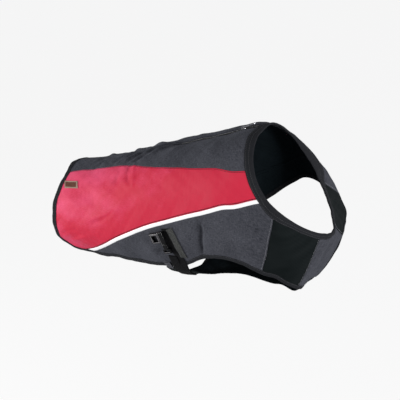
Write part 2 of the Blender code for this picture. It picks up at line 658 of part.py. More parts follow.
FOLD_WALL = 3.0
FOLD_LINE = [(283, 0.712), (282, 0.765)]
for side in (NEAR, FAR):
    tape = curve(TAPE_LINE, side)
    strip("ribbed_tape_" + SIDE_NAME[side], moved_in(tape, TAPE_WIDTH / 2, inside=1),
          moved_in(tape, TAPE_WIDTH / 2, inside=-1), 8,
          flat_band(TAPE_WALL, CLOTH_WALL / 2 + AIR_UNDER + TAPE_WALL / 2), WEBBING_GREY)
    fold = joined(*[(along, side * share) for along, share in FOLD_LINE])
    strip("strap_fold_" + SIDE_NAME[side], moved_in(fold, 6, inside=1), moved_in(fold, 6, inside=-1), 4,
          flat_band(FOLD_WALL, HEM_WALL / 2 + AIR_UNDER + FOLD_WALL / 2), WEBBING_GREY)

# ---- hard pieces: each is drawn flat in its own frame and set on the cloth -----------------------------


def frame_at(origin, ahead):
    """Frame on the cloth: x towards the second place, z out of the cloth, origin on the form."""
    start, end = form_point(*origin), form_point(*ahead)
    out = outward((origin[0] + ahead[0]) / 2, (origin[1] + ahead[1]) / 2)
    x_axis = (end - start) / np.linalg.norm(end - start)
    y_axis = np.cross(out, x_axis)
    y_axis /= np.linalg.norm(y_axis)
    z_axis = np.cross(x_axis, y_axis)
    return Matrix([(*row, place * MM) for row, place in zip(np.stack([x_axis, y_axis, z_axis], 1), start)] + [(0, 0, 0, 1)])


def plate(outline, low, high, windows=(), chamfer=0.0):
    """Flat plate in its own frame, millimetres, with windows cut through it."""
    form = bmesh.new()
    for loop in (outline, *windows):
        corners = [form.verts.new((x * MM, y * MM, low * MM)) for x, y in loop]
        for a, b in zip(corners, corners[1:] + corners[:1]):
            form.edges.new((a, b))
    bmesh.ops.triangle_fill(form, edges=form.edges[:], use_beauty=True, use_dissolve=False)
    base = form.faces[:]
    raised = bmesh.ops.extrude_face_region(form, geom=base)["geom"]
    upper = [v for v in raised if isinstance(v, bmesh.types.BMVert)]
    bmesh.ops.translate(form, verts=upper, vec=(0, 0, (high - low) * MM))
    bmesh.ops.recalc_face_normals(form, faces=form.faces)
    if chamfer:
        rim = [e for e in form.edges if all(v in upper for v in e.verts)
               and len(e.link_faces) == 2 and any(abs(f.normal.z) < 0.5 for f in e.link_faces)]
        bmesh.ops.bevel(form, geom=rim, offset=chamfer * MM, segments=1, affect="EDGES", profile=0.5)
    mesh = bpy.data.meshes.new("plate")
    form.to_mesh(mesh)
    form.free()
    return mesh


def rectangle(x0, x1, y0, y1):
    return [(x0, y0), (x1, y0), (x1, y1), (x0, y1)]


def combine(first, second, operation):
    """Boolean of two meshes in one frame; the second object is a hidden cutter while it runs."""
    body = bpy.data.objects.new("body", first)
    other = bpy.data.objects.new("cutter", second)
    for thing in (body, other):
        bpy.context.collection.objects.link(thing)
    other.hide_render = True
    other.display_type = "WIRE"
    step = body.modifiers.new("step", "BOOLEAN")
    step.operation, step.solver, step.object = operation, "EXACT", other
    bpy.context.view_layer.update()
    result = bpy.data.meshes.new_from_object(body.evaluated_get(bpy.context.evaluated_depsgraph_get()))
    for thing in (body, other):
        bpy.data.objects.remove(thing)
    return result


def set_on(name, mesh, frame, colour, roughness, metallic=0.0):
    mesh.name = name
    mesh.materials.clear()
    mesh.transform(frame)
    mesh.shade_flat()
    return finished(name, mesh, colour, roughness, metallic)


SOCKET = dict(width=11.0, length=25.0, height=7.0)
FRAME = dict(size=20.0, bar=3.5, window=13.0)
PLUG = dict(width=10.0, length=18.0, height=6.0, tongue=15.0)
for side in (NEAR, FAR):
    label = SIDE_NAME[side]
    place = frame_at((BUCKLE_TOP[0], side * BUCKLE_TOP[1]), (BUCKLE_FOOT[0], side * BUCKLE_FOOT[1]))
    rear = side
    half, length = SOCKET["width"] / 2, SOCKET["length"]
    reach = half + FRAME["size"]
    low = AIR_UNDER + max(
        ((place.inverted() @ Vector(cloth_point(along, side * share, CLOTH_WALL / 2) * MM)).z / MM
         for along in range(270, 309, 6) for share in np.linspace(BUCKLE_TOP[1], BUCKLE_FOOT[1], 9)))
    high = low + SOCKET["height"]
    outline = [(0, -half), (length, -half), (length, half), (FRAME["size"] + 1.5, half), (FRAME["size"] + 1.5, reach),
               (1.5, reach), (1.5, half), (0, half)]
    window = rectangle(5.0, 5.0 + FRAME["window"], half + 2.5, half + 2.5 + FRAME["window"])
    outline, window = ([(x, y * rear) for x, y in loop] for loop in (outline, window))
    socket = plate(outline, low, high, [window], chamfer=1.0)
    middle = (low + high) / 2
    cavity = plate(rectangle(length - PLUG["tongue"] - 1, length + 1, -3.6, 3.6), middle - 1.8, middle + 1.8)
    set_on("buckle_socket_" + label, combine(socket, cavity, "DIFFERENCE"), place, PLASTIC_BLACK, 0.45)

    half = PLUG["width"] / 2
    start = length + SEAM_GAP
    body = plate([(start, -half), (start + 9, -half), (start + 10, -8.5), (start + PLUG["length"], -8.5),
                  (start + PLUG["length"], 8.5), (start + 10, 8.5), (start + 9, half), (start, half)],
                 middle - PLUG["height"] / 2, middle + PLUG["height"] / 2,
                 [rectangle(start + 11.5, start + 15, -6.5, 6.5)], chamfer=0.8)
    tongue = plate(rectangle(start - PLUG["tongue"], start + 2, -3.2, 3.2), middle - 1.4, middle + 1.4)
    set_on("buckle_plug_" + label, combine(body, tongue, "UNION"), place, PLASTIC_BLACK, 0.45)

# ---- back zip -------------------------------------------------------------------------------------------
CHAIN_HALF, CHAIN_WALL, CHAIN_LIFT = 2.4, 2.2, 0.15
ZIP_TAPE_WALL, ZIP_TAPE_WIDTH = 1.0, 8.0
ZIP_TAPE_LIFT = -2.5
CHAIN_START, SLIDER_AT = 312, 445
SLIDER = dict(length=9.0, width=7.6, foot=1.65, thick=1.8, post_in=2.6, post_out=3.8, arch=6.6, arch_half=1.1)
PULL = dict(pivot=4.45, length=26.0, width=5.8, thick=1.2, hole=5.2, raised=5.0)


def beside_spine(start, end, offset):
    return lambda t: (start + (end - start) * t, offset / MEAN_HALF_GIRTH)


strip("zip_chain", beside_spine(CHAIN_START, SLIDER_AT - 6, -CHAIN_HALF), beside_spine(CHAIN_START, SLIDER_AT - 6, CHAIN_HALF), 20,
      flat_band(CHAIN_WALL, CHAIN_LIFT), BINDING_BLACK)
for side in (NEAR, FAR):
    strip("zip_tape_" + SIDE_NAME[side], beside_spine(284, 472, side * 0.6),
          beside_spine(284, 472, side * (ZIP_SLOT_HALF + ZIP_TAPE_WIDTH)), 20,
          flat_band(ZIP_TAPE_WALL, ZIP_TAPE_LIFT), BINDING_BLACK)
    strip("zip_end_" + SIDE_NAME[side], beside_spine(SLIDER_AT + 5.5, 472, side * 0.5),
          beside_spine(SLIDER_AT + 5.5, 472, side * 2.7), 5, flat_band(CHAIN_WALL, CHAIN_LIFT), BINDING_BLACK)


def on_the_spine(along):
    """Frame on the folded cloth at the spine, x ahead and z out."""
    here, ahead, behind = (cloth_point(along + d, 0) for d in (0, 8, -8))
    x_axis = (ahead - behind) / np.linalg.norm(ahead - behind)
    y_axis = np.array([0.0, 1.0, 0.0])
    z_axis = np.cross(x_axis, y_axis)
    return Matrix([(*row, p * MM) for row, p in zip(np.stack([x_axis, y_axis, z_axis], 1), here)] + [(0, 0, 0, 1)])


slider_frame = on_the_spine(SLIDER_AT)
half_long, half_wide = SLIDER["length"] / 2, SLIDER["width"] / 2
top = SLIDER["foot"] + SLIDER["thick"]
body = plate([(-half_long, -half_wide + 1.2), (-half_long + 1.2, -half_wide), (half_long - 1.5, -half_wide),
              (half_long, -half_wide + 1.8), (half_long, half_wide - 1.8), (half_long - 1.5, half_wide),
              (-half_long + 1.2, half_wide), (-half_long, half_wide - 1.2)], SLIDER["foot"], top, chamfer=0.4)
post_in, post_out, crown = SLIDER["post_in"], SLIDER["post_out"], SLIDER["arch"]
arch = plate([(-post_out, top - 0.6), (-post_in, top - 0.6), (-post_in, crown - 1.2), (post_in, crown - 1.2),
              (post_in, top - 0.6), (post_out, top - 0.6), (post_out, crown - 0.8), (post_out - 0.8, crown),
              (0.8 - post_out, crown), (-post_out, crown - 0.8)], -SLIDER["arch_half"], SLIDER["arch_half"])
arch.transform(Matrix.Rotation(radians(90), 4, "X"))
set_on("zip_slider", combine(body, arch, "UNION"), slider_frame, ZIP_METAL, 0.35, 0.9)

# The pull tab turns on a pin through the slider's arch; its origin lies on that pin.
half_wide, half_thick = PULL["width"] / 2, PULL["thick"] / 2
tab = plate([(-0.6, -half_wide), (PULL["length"] - 1.5, -half_wide), (PULL["length"], -half_wide + 1.5),
             (PULL["length"], half_wide - 1.5), (PULL["length"] - 1.5, half_wide), (-0.6, half_wide)],
            -half_thick, half_thick,
            [rectangle(0.65, PULL["hole"], -1.6, 1.6),
             rectangle(PULL["length"] - 12.0, PULL["length"] - 3.0, -1.4, 1.4)], chamfer=0.25)
pin = slider_frame @ Matrix.Translation((0, 0, PULL["pivot"] * MM))
pull = set_on("zip_pull_tab", tab, pin.to_3x3().to_4x4() @ Matrix.Rotation(radians(-PULL["raised"]), 4, "Y"),
              ZIP_METAL, 0.35, 0.9)
pull.location = pin.translation

# ---- sewn label on the near side panel --------------------------------------------------------------------
LABEL_TOP = [(64, -0.222), (96, -0.222)]
LABEL_FOOT = [(68, -0.276), (101, -0.274)]
strip("side_label", joined(*LABEL_TOP), joined(*LABEL_FOOT), 6,
      flat_band(LABEL_WALL, CLOTH_WALL / 2 + AIR_UNDER + LABEL_WALL / 2), LABEL_TAN)
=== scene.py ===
"""Dog coat in red and charcoal cloth, filled out as on a dog.

The coat hangs in its worn shape with nobody in it. +X is the neck, +Y the far
side, +Z up; the origin lies on the spine at the neck edge.
"""
from collections import namedtuple
from math import ceil, cos, hypot, pi, radians, sin

import bpy
import numpy as np
from mathutils import Matrix, Vector


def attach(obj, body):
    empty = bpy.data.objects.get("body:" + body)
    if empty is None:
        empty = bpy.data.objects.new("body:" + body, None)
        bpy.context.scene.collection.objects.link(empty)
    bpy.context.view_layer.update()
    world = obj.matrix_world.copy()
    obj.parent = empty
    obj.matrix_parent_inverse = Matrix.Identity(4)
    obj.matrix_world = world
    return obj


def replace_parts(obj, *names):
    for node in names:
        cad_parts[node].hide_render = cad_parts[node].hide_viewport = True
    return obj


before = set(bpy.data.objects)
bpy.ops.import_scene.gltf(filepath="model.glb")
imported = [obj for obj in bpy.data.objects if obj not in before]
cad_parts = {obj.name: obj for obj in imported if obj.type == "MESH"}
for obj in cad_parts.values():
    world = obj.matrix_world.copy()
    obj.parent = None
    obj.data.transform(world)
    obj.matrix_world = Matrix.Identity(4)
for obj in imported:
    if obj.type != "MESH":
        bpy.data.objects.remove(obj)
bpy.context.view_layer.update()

bpy.ops.object.select_all(action="DESELECT")

# ==== Camera ======================================================================
# The photograph looks down on the near shoulder from ahead of the coat, with a
# little roll. Its frame is 400 x 400.
MM = 0.001
FRAME_PIXELS = 400
MM_PER_PIXEL = 1.70
NECK_PIXEL = (264.0, 124.5)
SENSOR = 36.0
view_turn, view_height, view_roll = radians(34), radians(19), radians(9)
view_distance = 1.750

back = Vector((sin(view_turn) * cos(view_height), -cos(view_turn) * cos(view_height), sin(view_height)))
level = Vector((cos(view_turn), sin(view_turn), 0))
upright = back.cross(level)
right = level * cos(view_roll) - upright * sin(view_roll)
up = level * sin(view_roll) + upright * cos(view_roll)
middle = FRAME_PIXELS / 2
aim = -(right * (NECK_PIXEL[0] - middle) + up * (middle - NECK_PIXEL[1])) * MM_PER_PIXEL * MM
camera = bpy.data.objects.new("camera", bpy.data.cameras.new("camera"))
view_place = aim + back * view_distance
camera.matrix_world = Matrix([(*axes, place) for axes, place in zip(zip(right, up, back), view_place)]
                             + [(0, 0, 0, 1)])
camera.data.sensor_width = SENSOR
camera.data.lens = SENSOR * view_distance / (FRAME_PIXELS * MM_PER_PIXEL * MM)
camera.data.clip_end = 50
bpy.context.scene.collection.objects.link(camera)
bpy.context.scene.camera = camera

# ==== Back panel ===================================================================
# One piece of charcoal polyester over the spine, from the rump to the neck, slit for
# the leash zip. The slit's edges are turned in. It is sewn to the red side panels.
#
# Every piece of cloth is laid on the form of a dog's trunk. A place on it is
# (along, share): millimetres along the spine, 0 at the rump and 485 at the neck, and
# part of the half girth, 0 on the spine and 1 on the chest line, negative on the near side.
Section = namedtuple("Section", "along spine_x spine_z chest_x chest_z near_half near_wide near_top near_low "
                                "far_half far_wide far_top far_low bow gather")
SECTIONS = [
    Section(0, -480, -88, -470, -244, 73, 0.52, 2.0, 2.0, 73, 0.52, 2.0, 2.0, 0, 0),
    Section(55, -427, -79, -415, -256, 80, 0.52, 2.0, 2.0, 80, 0.52, 2.0, 2.0, 0, 0),
    Section(130, -352, -70, -340, -268, 88, 0.52, 2.0, 2.0, 88, 0.52, 2.0, 2.0, 0, 0),
    Section(220, -262, -53, -255, -280, 94, 0.53, 2.6, 2.0, 94, 0.53, 2.6, 2.0, 0, 0),
    Section(300, -184, -36, -165, -286, 101, 0.54, 2.7, 2.0, 101, 0.54, 2.7, 2.0, 0, 0),
    Section(370, -115, -21, -80, -287, 107, 0.54, 2.5, 2.0, 115, 0.55, 2.1, 2.1, 0, 0),
    Section(425, -60, -10, -5, -298, 112, 0.52, 2.6, 2.1, 136, 0.56, 2.0, 2.2, 0, 0),
    Section(455, -30, -4, 38, -306, 107, 0.47, 2.8, 2.2, 151, 0.52, 2.1, 2.8, 0, 0.02),
    Section(474, -8, -1, 78, -246, 100, 0.43, 2.5, 2.3, 147, 0.68, 1.58, 3.2, 0, 0.07),
    Section(485, 8, 0, 106, -190, 99, 0.47, 2.0, 1.64, 76, 0.48, 1.8, 1.4, -16, 0.13),
]
NECK_EDGE = SECTIONS[-1].along
RING_STEPS, SHARE_STEPS = 48, 200
MEAN_HALF_GIRTH = 360.0
NEAR, FAR = -1, 1
SIDE_NAME = {NEAR: "near", FAR: "far"}


def smooth(knots, values, x):
    """Cubic curve through the knots, with slopes taken from their neighbours."""
    knots, values = np.asarray(knots, float), np.asarray(values, float)
    gap = np.diff(knots)
    slope = np.diff(values) / gap
    tangent = np.empty(len(knots))
    tangent[1:-1] = (slope[:-1] * gap[1:] + slope[1:] * gap[:-1]) / (gap[1:] + gap[:-1])
    tangent[0] = 1.5 * slope[0] - 0.5 * tangent[1]
    tangent[-1] = 1.5 * slope[-1] - 0.5 * tangent[-2]
    x = np.clip(x, knots[0], knots[-1])
    i = np.clip(np.searchsorted(knots, x, side="right") - 1, 0, len(knots) - 2)
    t = (x - knots[i]) / gap[i]
    return ((2 * t**3 - 3 * t**2 + 1) * values[i] + (t**3 - 2 * t**2 + t) * gap[i] * tangent[i]
            + (-2 * t**3 + 3 * t**2) * values[i + 1] + (t**3 - t**2) * gap[i] * tangent[i + 1])


def half_ring(cut, side):
    """One half section from spine to chest line, at equal steps of share, and its half girth."""
    half, wide, top, low = cut[9:13] if side > 0 else cut[5:9]
    angle = np.linspace(0, pi / 2, RING_STEPS + 1)
    out = np.r_[np.sin(angle) ** (2 / top), np.cos(angle[1:]) ** (2 / low)]
    down = np.r_[wide * (1 - np.cos(angle) ** (2 / top)), wide + (1 - wide) * np.sin(angle[1:]) ** (2 / low)]
    points = np.stack([cut.spine_x + (cut.chest_x - cut.spine_x) * down + cut.bow * out**2, side * half * out,
                       cut.spine_z + (cut.chest_z - cut.spine_z) * down], -1)
    reach = np.r_[0, np.cumsum(np.linalg.norm(np.diff(points, axis=0), axis=1))]
    share = np.linspace(0, 1, SHARE_STEPS + 1)
    wanted = reach[-1] * (share + cut.gather * np.sin(pi * share))
    return np.stack([np.interp(wanted, reach, points[:, k]) for k in range(3)], -1), reach[-1]


alongs = np.arange(NECK_EDGE + 1)
cuts = [Section(*row) for row in zip(*(smooth([s.along for s in SECTIONS], column, alongs)
                                       for column in zip(*SECTIONS)))]
rings = [[half_ring(cut, side) for cut in cuts] for side in (NEAR, FAR)]
FORM = np.array([[points for points, _ in half] for half in rings])
HALF_GIRTH = np.array([[girth for _, girth in half] for half in rings])


def form_points(along, share):
    """Places on the smooth form; a share past the chest line goes on to the other side."""
    share = (np.asarray(share, float) + 1) % 2 - 1
    along = np.clip(np.asarray(along, float), 0, NECK_EDGE)
    side = (share >= 0).astype(int)
    i = np.minimum(along.astype(int), NECK_EDGE - 1)
    j = np.minimum((abs(share) * SHARE_STEPS).astype(int), SHARE_STEPS - 1)
    u, v = (along - i)[..., None], (abs(share) * SHARE_STEPS - j)[..., None]
    return ((1 - u) * ((1 - v) * FORM[side, i, j] + v * FORM[side, i, j + 1])
            + u * ((1 - v) * FORM[side, i + 1, j] + v * FORM[side, i + 1, j + 1]))


def steps_at(along, share):
    """Change of the form's place per millimetre along and per unit of share."""
    along = np.clip(along, 1.0, NECK_EDGE - 1.0)
    return ((form_points(along + 1, share) - form_points(along - 1, share)) / 2,
            (form_points(along, share + 0.006) - form_points(along, share - 0.006)) / 0.012)


def outward(along, share):
    normal = np.cross(*steps_at(along, share))
    return normal / np.linalg.norm(normal, axis=-1, keepdims=True)


# Folds: from one place to another, bowed sideways by bow mm; width is the half width,
# steep how much narrower the slope on the positive side is; height is negative in a trough.
Fold = namedtuple("Fold", "along_0 share_0 along_1 share_1 bow width steep height")
FOLDS = [
    # the zip lies in a shallow valley
    Fold(286, 0.000, 478, 0.000, 0, 13, 1.0, -5.0),
    Fold(296, -0.048, 478, -0.048, 0, 13, 1.0, -3.5),
    Fold(296, 0.050, 478, 0.050, 0, 12, 1.0, 1.5),
    # creases across the back
    Fold(276, 0.020, 226, -0.135, 3, 9, 0.8, 4.5),
    Fold(252, 0.000, 212, -0.135, 3, 8, 0.9, -3.5),
    Fold(200, -0.010, 168, -0.100, -2, 9, 0.8, 3.0),
    Fold(262, 0.030, 216, 0.150, -3, 9, 0.8, 4.0),
    Fold(196, 0.020, 160, 0.120, 2, 9, 1.0, -2.5),
    # the long soft folds of the flanks and sides
    Fold(379, -0.478, 362, -0.645, 2, 9, 0.7, -4.0),
    Fold(389, -0.480, 378, -0.640, 2, 8, 1.0, 2.0),
    Fold(372, 0.420, 360, 0.520, 0, 10, 0.8, -4.0),
    Fold(30, -0.680, 92, -0.540, 4, 9, 1.0, 2.5),
    Fold(140, -0.470, 226, -0.380, -4, 10, 1.0, 2.5),
    Fold(60, 0.640, 120, 0.520, -3, 10, 1.0, 2.5),
    Fold(150, 0.460, 232, 0.390, 4, 11, 1.0, -2.0),
    Fold(438, -0.500, 448, -0.600, 0, 12, 1.0, 2.5),
    # the belly is drawn up behind the point of the chest
    Fold(456, -0.940, 456, -1.060, 0, 12, 1.0, -4.5),
    Fold(434, -0.930, 434, -1.070, 0, 15, 1.0, -7.0),
    Fold(360, -0.860, 360, -1.140, 0, 48, 1.0, -9.0),
    # the hem turns out a little
    Fold(16, -0.795, 130, -0.795, 0, 18, 1.0, 3.5),
    Fold(110, -0.790, 256, -0.764, 0, 18, 1.0, 3.5),
    Fold(16, 0.795, 130, 0.795, 0, 18, 1.0, 3.5),
    Fold(110, 0.790, 256, 0.764, 0, 18, 1.0, 3.5),
]
# Smaller creases, that only the cloth has.
CREASES = [
    # back
    Fold(286, -0.050, 250, -0.150, 3, 6, 0.6, 4.4),
    Fold(262, -0.050, 232, -0.140, 2, 6, 0.7, -4.2),
    Fold(222, -0.055, 186, -0.130, -2, 6, 0.7, 4.0),
    Fold(236, -0.050, 196, -0.120, 2, 4, 0.6, 2.8),
    Fold(222, -0.030, 192, -0.070, -2, 4, 0.7, -1.5),
    Fold(170, -0.045, 138, -0.110, 3, 7, 0.7, 3.2),
    Fold(156, -0.045, 126, -0.120, 2, 6, 0.8, -3.2),
    Fold(124, -0.030, 98, -0.090, 2, 6, 0.9, 1.9),
    Fold(244, 0.020, 205, 0.130, -2, 5, 0.7, -2.3),
    Fold(214, 0.010, 170, 0.130, -2, 6, 0.8, 2.2),
    Fold(150, 0.010, 112, 0.110, -3, 6, 0.8, 2.0),
    Fold(330, -0.060, 300, -0.180, 2, 7, 0.9, 1.4),
    Fold(345, 0.060, 306, 0.190, -2, 7, 0.9, 1.6),
    Fold(420, -0.090, 392, -0.210, 2, 8, 1.0, 1.7),
    Fold(430, 0.090, 398, 0.220, -2, 8, 1.0, 1.7),
    # near side panel
    Fold(236, -0.160, 246, -0.290, 2, 4, 0.7, 2.3),
    Fold(226, -0.170, 232, -0.270, -2, 5, 1.0, -1.9),
    Fold(205, -0.180, 188, -0.300, 4, 8, 1.0, -2.0),
    Fold(40, -0.640, 86, -0.560, 3, 6, 0.9, -2.2),
    Fold(58, -0.700, 104, -0.610, 3, 6, 0.8, 2.2),
    Fold(128, -0.500, 196, -0.420, -3, 6, 0.8, -2.3),
    Fold(118, -0.300, 150, -0.420, 6, 16, 1.0, -2.6),
    Fold(300, -0.250, 330, -0.440, 6, 18, 1.0, -2.2),
    Fold(420, -0.270, 404, -0.400, 4, 12, 1.0, 1.7),
    Fold(60, -0.330, 110, -0.420, 4, 14, 1.0, 2.3),
    # far side panel
    Fold(238, 0.170, 252, 0.300, -2, 5, 0.7, 2.3),
    Fold(210, 0.180, 196, 0.320, -4, 9, 1.0, -2.2),
    Fold(74, 0.600, 132, 0.500, -3, 7, 0.8, -2.3),
    Fold(100, 0.280, 140, 0.430, -5, 16, 1.0, -2.6),
    Fold(310, 0.260, 340, 0.430, 5, 16, 1.0, 2.3),
    Fold(166, 0.560, 236, 0.450, 4, 9, 0.9, 2.3),
    # flanks
    Fold(378, -0.480, 361, -0.650, 2, 3.2, 0.7, -2.5),
    Fold(386, -0.485, 369, -0.640, 2, 4, 0.8, 1.5),
    Fold(344, -0.520, 336, -0.660, 3, 9, 1.0, 1.9),
    Fold(402, -0.460, 396, -0.600, -3, 9, 0.9, -1.9),
    Fold(424, -0.440, 436, -0.590, 3, 8, 0.9, 1.9),
    Fold(250, -0.600, 276, -0.700, 3, 9, 1.0, 2.0),
    Fold(190, -0.640, 230, -0.730, 4, 8, 0.9, -1.9),
    Fold(342, 0.500, 330, 0.640, -3, 9, 1.0, 2.0),
    Fold(260, 0.590, 284, 0.710, -3, 9, 1.0, -2.0),
    Fold(180, 0.620, 228, 0.730, -4, 8, 0.9, 2.0),
    Fold(410, 0.400, 400, 0.480, 2, 8, 0.9, 1.9),
    # stretch and chest panels
    Fold(470, -0.640, 458, -0.720, 2, 9, 1.0, -1.4),
    Fold(474, -0.740, 462, -0.840, 2, 9, 1.0, 1.4),
    Fold(476, 0.600, 470, 0.680, 2, 9, 1.0, -1.4),
    Fold(478, -0.930, 468, -1.040, 2, 9, 1.0, -1.7),
    Fold(480, 0.900, 470, 0.980, 2, 9, 1.0, 1.7),
    # belly
    Fold(449, -0.900, 449, -1.100, 0, 10, 1.0, -5.5),
    Fold(390, -0.960, 372, -1.040, 2, 8, 1.0, -1.4),
    Fold(340, -0.955, 318, -1.040, 2, 8, 1.0, 1.4),
]
# Soft waves all over, mm of height and mm of length along and round.
WAVES = [(0.35, 83, 61, 0.4), (0.30, -57, 97, 1.9), (0.22, 41, -37, 3.1), (0.16, 29, 23, 5.0), (0.10, -17, 21, 2.2)]


def fold_height(along, share):
    """Height of all folds, creases and waves at places, mm."""
    along, share = np.asarray(along, float), np.asarray(share, float)
    height = np.zeros(np.broadcast(along, share).shape)
    for number, fold in enumerate(FOLDS + CREASES):
        start = np.array([fold.along_0, fold.share_0 * MEAN_HALF_GIRTH])
        run = np.array([fold.along_1, fold.share_1 * MEAN_HALF_GIRTH]) - start
        length = hypot(*run)
        for turn in (0, -2, 2):
            x, y = along - start[0], (share + turn) * MEAN_HALF_GIRTH - start[1]
            t = (x * run[0] + y * run[1]) / length**2
            inside = np.clip(t, 0, 1)
            beside = (run[0] * y - run[1] * x) / length - fold.bow * 4 * inside * (1 - inside)
            past = (t - inside) * length
            wide = np.where(beside > 0, fold.width * fold.steep, fold.width)
            fade = np.sin(pi * np.clip(0.15 + 0.7 * t, 0, 1))
            uneven = 1 + 0.25 * np.sin(5.3 * inside + 1.7 * number) + 0.15 * np.sin(11.0 * inside + 2.9 * number)
            height += fold.height * uneven * fade * np.exp(-(beside**2 + past**2) / wide**2)
    for size, length_along, length_round, shift in WAVES:
        height += size * np.sin(2 * pi * along / length_along
                                + 2 * pi * share * MEAN_HALF_GIRTH / length_round + shift)
    return height


def cloth_points(along, share, lift=0.0):
    """Places on the folded cloth, moved out by lift mm."""
    height = np.asarray(fold_height(along, share) + lift)
    return form_points(along, share) + outward(along, share) * height[..., None]


# Seams and edges, each a row of places.
RUMP_AND_HEM = [(52, 0.0), (52.4, 0.030), (54.5, 0.070), (57.5, 0.126), (52, 0.243), (40, 0.364), (31, 0.485),
                (23, 0.607), (22, 0.705), (36, 0.785), (66, 0.803), (106, 0.785), (164, 0.762), (216, 0.758),
                (262, 0.763), (300, 0.750)]
LEG_EDGE = {
    NEAR: [(318, 0.732), (335, 0.708), (351, 0.682), (367, 0.665), (389, 0.651), (409, 0.651), (429, 0.661),
           (446, 0.678), (456, 0.715), (460, 0.780), (461, 0.850), (460, 0.935)],
    FAR: [(318, 0.728), (335, 0.690), (351, 0.642), (365, 0.605), (379, 0.574), (395, 0.547), (413, 0.514),
          (429, 0.486), (445, 0.462), (456, 0.462), (465, 0.500), (471, 0.565), (474, 0.650), (474, 0.735),
          (470, 0.810), (464, 0.875), (460, 0.935)]}
NECK_SEAM = {
    NEAR: [(474.5, 0.0), (473.5, 0.070), (473.5, 0.140), (472.5, 0.205), (471.5, 0.250), (471.3, 0.300),
           (472.5, 0.350), (475.2, 0.406), (479.0, 0.473), (482.2, 0.560), (483.1, 0.670), (483.3, 0.840),
           (483.2, 1.0)],
    FAR: [(474.5, 0.0), (475.0, 0.070), (475.5, 0.140), (475.5, 0.205), (475.5, 0.250), (476.3, 0.300),
          (478.0, 0.350), (480.4, 0.406), (482.7, 0.473), (483.8, 0.560), (483.9, 0.670), (483.8, 0.760),
          (483.6, 0.840), (483.3, 0.920), (483.2, 1.0)]}
RED_TOP_SEAM = [(30, 0.155), (62, 0.146), (116, 0.130), (170, 0.142), (220, 0.163), (279, 0.201),
                (337, 0.222), (393, 0.240), (443, 0.247), (469, 0.253), (484.8, 0.259)]
PIPING_LINE = {NEAR: [(36, 0.860), (84, 0.778), (120, 0.706), (164, 0.628), (224, 0.552), (273, 0.504),
                      (319, 0.474), (361, 0.449), (403, 0.424), (441, 0.393), (461, 0.380), (474, 0.382),
                      (484, 0.388)]}
PIPING_LINE[FAR] = PIPING_LINE[NEAR][:8] + [(441, 0.380), (461, 0.352), (474, 0.340), (481, 0.335), (484.6, 0.332)]
BINDING_WIDTH, PIPING_WIDTH = 8.0, 7.0
CLOTH_WALL = 1.6
STRAP_AT_HEM = 300
PATH_STEPS, CROSSING_STEPS, OFFSET_STEPS = 300, 400, 3


def curve(rows, side=1):
    """Function of t in 0..1 that runs smoothly through the rows, on one side of the coat."""
    rows = np.array(rows, float) * (1, side)
    legs = np.linalg.norm(np.diff(rows * (1, MEAN_HALF_GIRTH), axis=0), axis=1)
    knots = np.r_[0, np.cumsum(legs)] / legs.sum()
    return lambda t: np.stack([smooth(knots, rows[:, 0], t), smooth(knots, rows[:, 1], t)], -1)


def joined(*places):
    """Straight runs on the flat cloth from place to place."""
    rows = np.array(places, float)
    legs = np.linalg.norm(np.diff(rows * (1, MEAN_HALF_GIRTH), axis=0), axis=1)
    knots = np.r_[0, np.cumsum(legs)] / legs.sum()
    return lambda t: np.stack([np.interp(t, knots, rows[:, 0]), np.interp(t, knots, rows[:, 1])], -1)


def part_of(path, start, end):
    return lambda t: path(start + (end - start) * np.asarray(t))


def evenly(path):
    """The same curve with a parameter that runs evenly along it in space."""
    ts = np.linspace(0, 1, PATH_STEPS + 1)
    reach = np.r_[0, np.cumsum(np.linalg.norm(np.diff(form_points(*path(ts).T), axis=0), axis=1))]
    return lambda t: path(np.interp(np.asarray(t) * reach[-1], reach, ts))


def length_of(path):
    places = path(np.linspace(0, 1, PATH_STEPS + 1))
    return np.linalg.norm(np.diff(form_points(*places.T), axis=0), axis=1).sum()


def where_they_meet(path_a, path_b):
    """Parameters of the crossing of two curves on the flat cloth."""
    ts = np.linspace(0, 1, CROSSING_STEPS + 1)
    a, b = (path(ts) * (1, MEAN_HALF_GIRTH) for path in (path_a, path_b))
    run_a, run_b = np.diff(a, axis=0)[:, None], np.diff(b, axis=0)[None]
    gap = b[None, :-1] - a[:-1, None]
    det = run_b[..., 0] * run_a[..., 1] - run_a[..., 0] * run_b[..., 1]
    det[abs(det) < 1e-12] = np.inf
    u = (run_b[..., 0] * gap[..., 1] - gap[..., 0] * run_b[..., 1]) / det
    v = (run_a[..., 0] * gap[..., 1] - run_a[..., 1] * gap[..., 0]) / det
    hits = np.argwhere((u >= 0) & (u <= 1) & (v >= 0) & (v <= 1))
    i, j = hits[0]
    return (i + u[i, j]) / CROSSING_STEPS, (j + v[i, j]) / CROSSING_STEPS


def moved_in(path, width, inside):
    """The curve at a distance from a path, measured on the cloth; inside is the side of the path."""
    ts = np.linspace(0, 1, PATH_STEPS + 1)
    along, share = path(ts).T
    travel = path(np.minimum(ts + 0.004, 1)) - path(np.maximum(ts - 0.004, 0))
    for _ in range(OFFSET_STEPS):
        step_along, step_share = steps_at(along, share)
        tangent = step_along * travel[:, :1] + step_share * travel[:, 1:]
        tangent /= np.linalg.norm(tangent, axis=1, keepdims=True)
        across = np.cross(outward(along, share), tangent) * inside * width / OFFSET_STEPS
        aa, ab, bb = ((p * q).sum(1) for p, q in ((step_along, step_along), (step_along, step_share),
                                                  (step_share, step_share)))
        ac, bc = (step_along * across).sum(1), (step_share * across).sum(1)
        det = aa * bb - ab**2
        along, share = along + (ac * bb - bc * ab) / det, share + (bc * aa - ac * ab) / det
    return lambda t: np.stack([np.interp(t, ts, along), np.interp(t, ts, share)], -1)


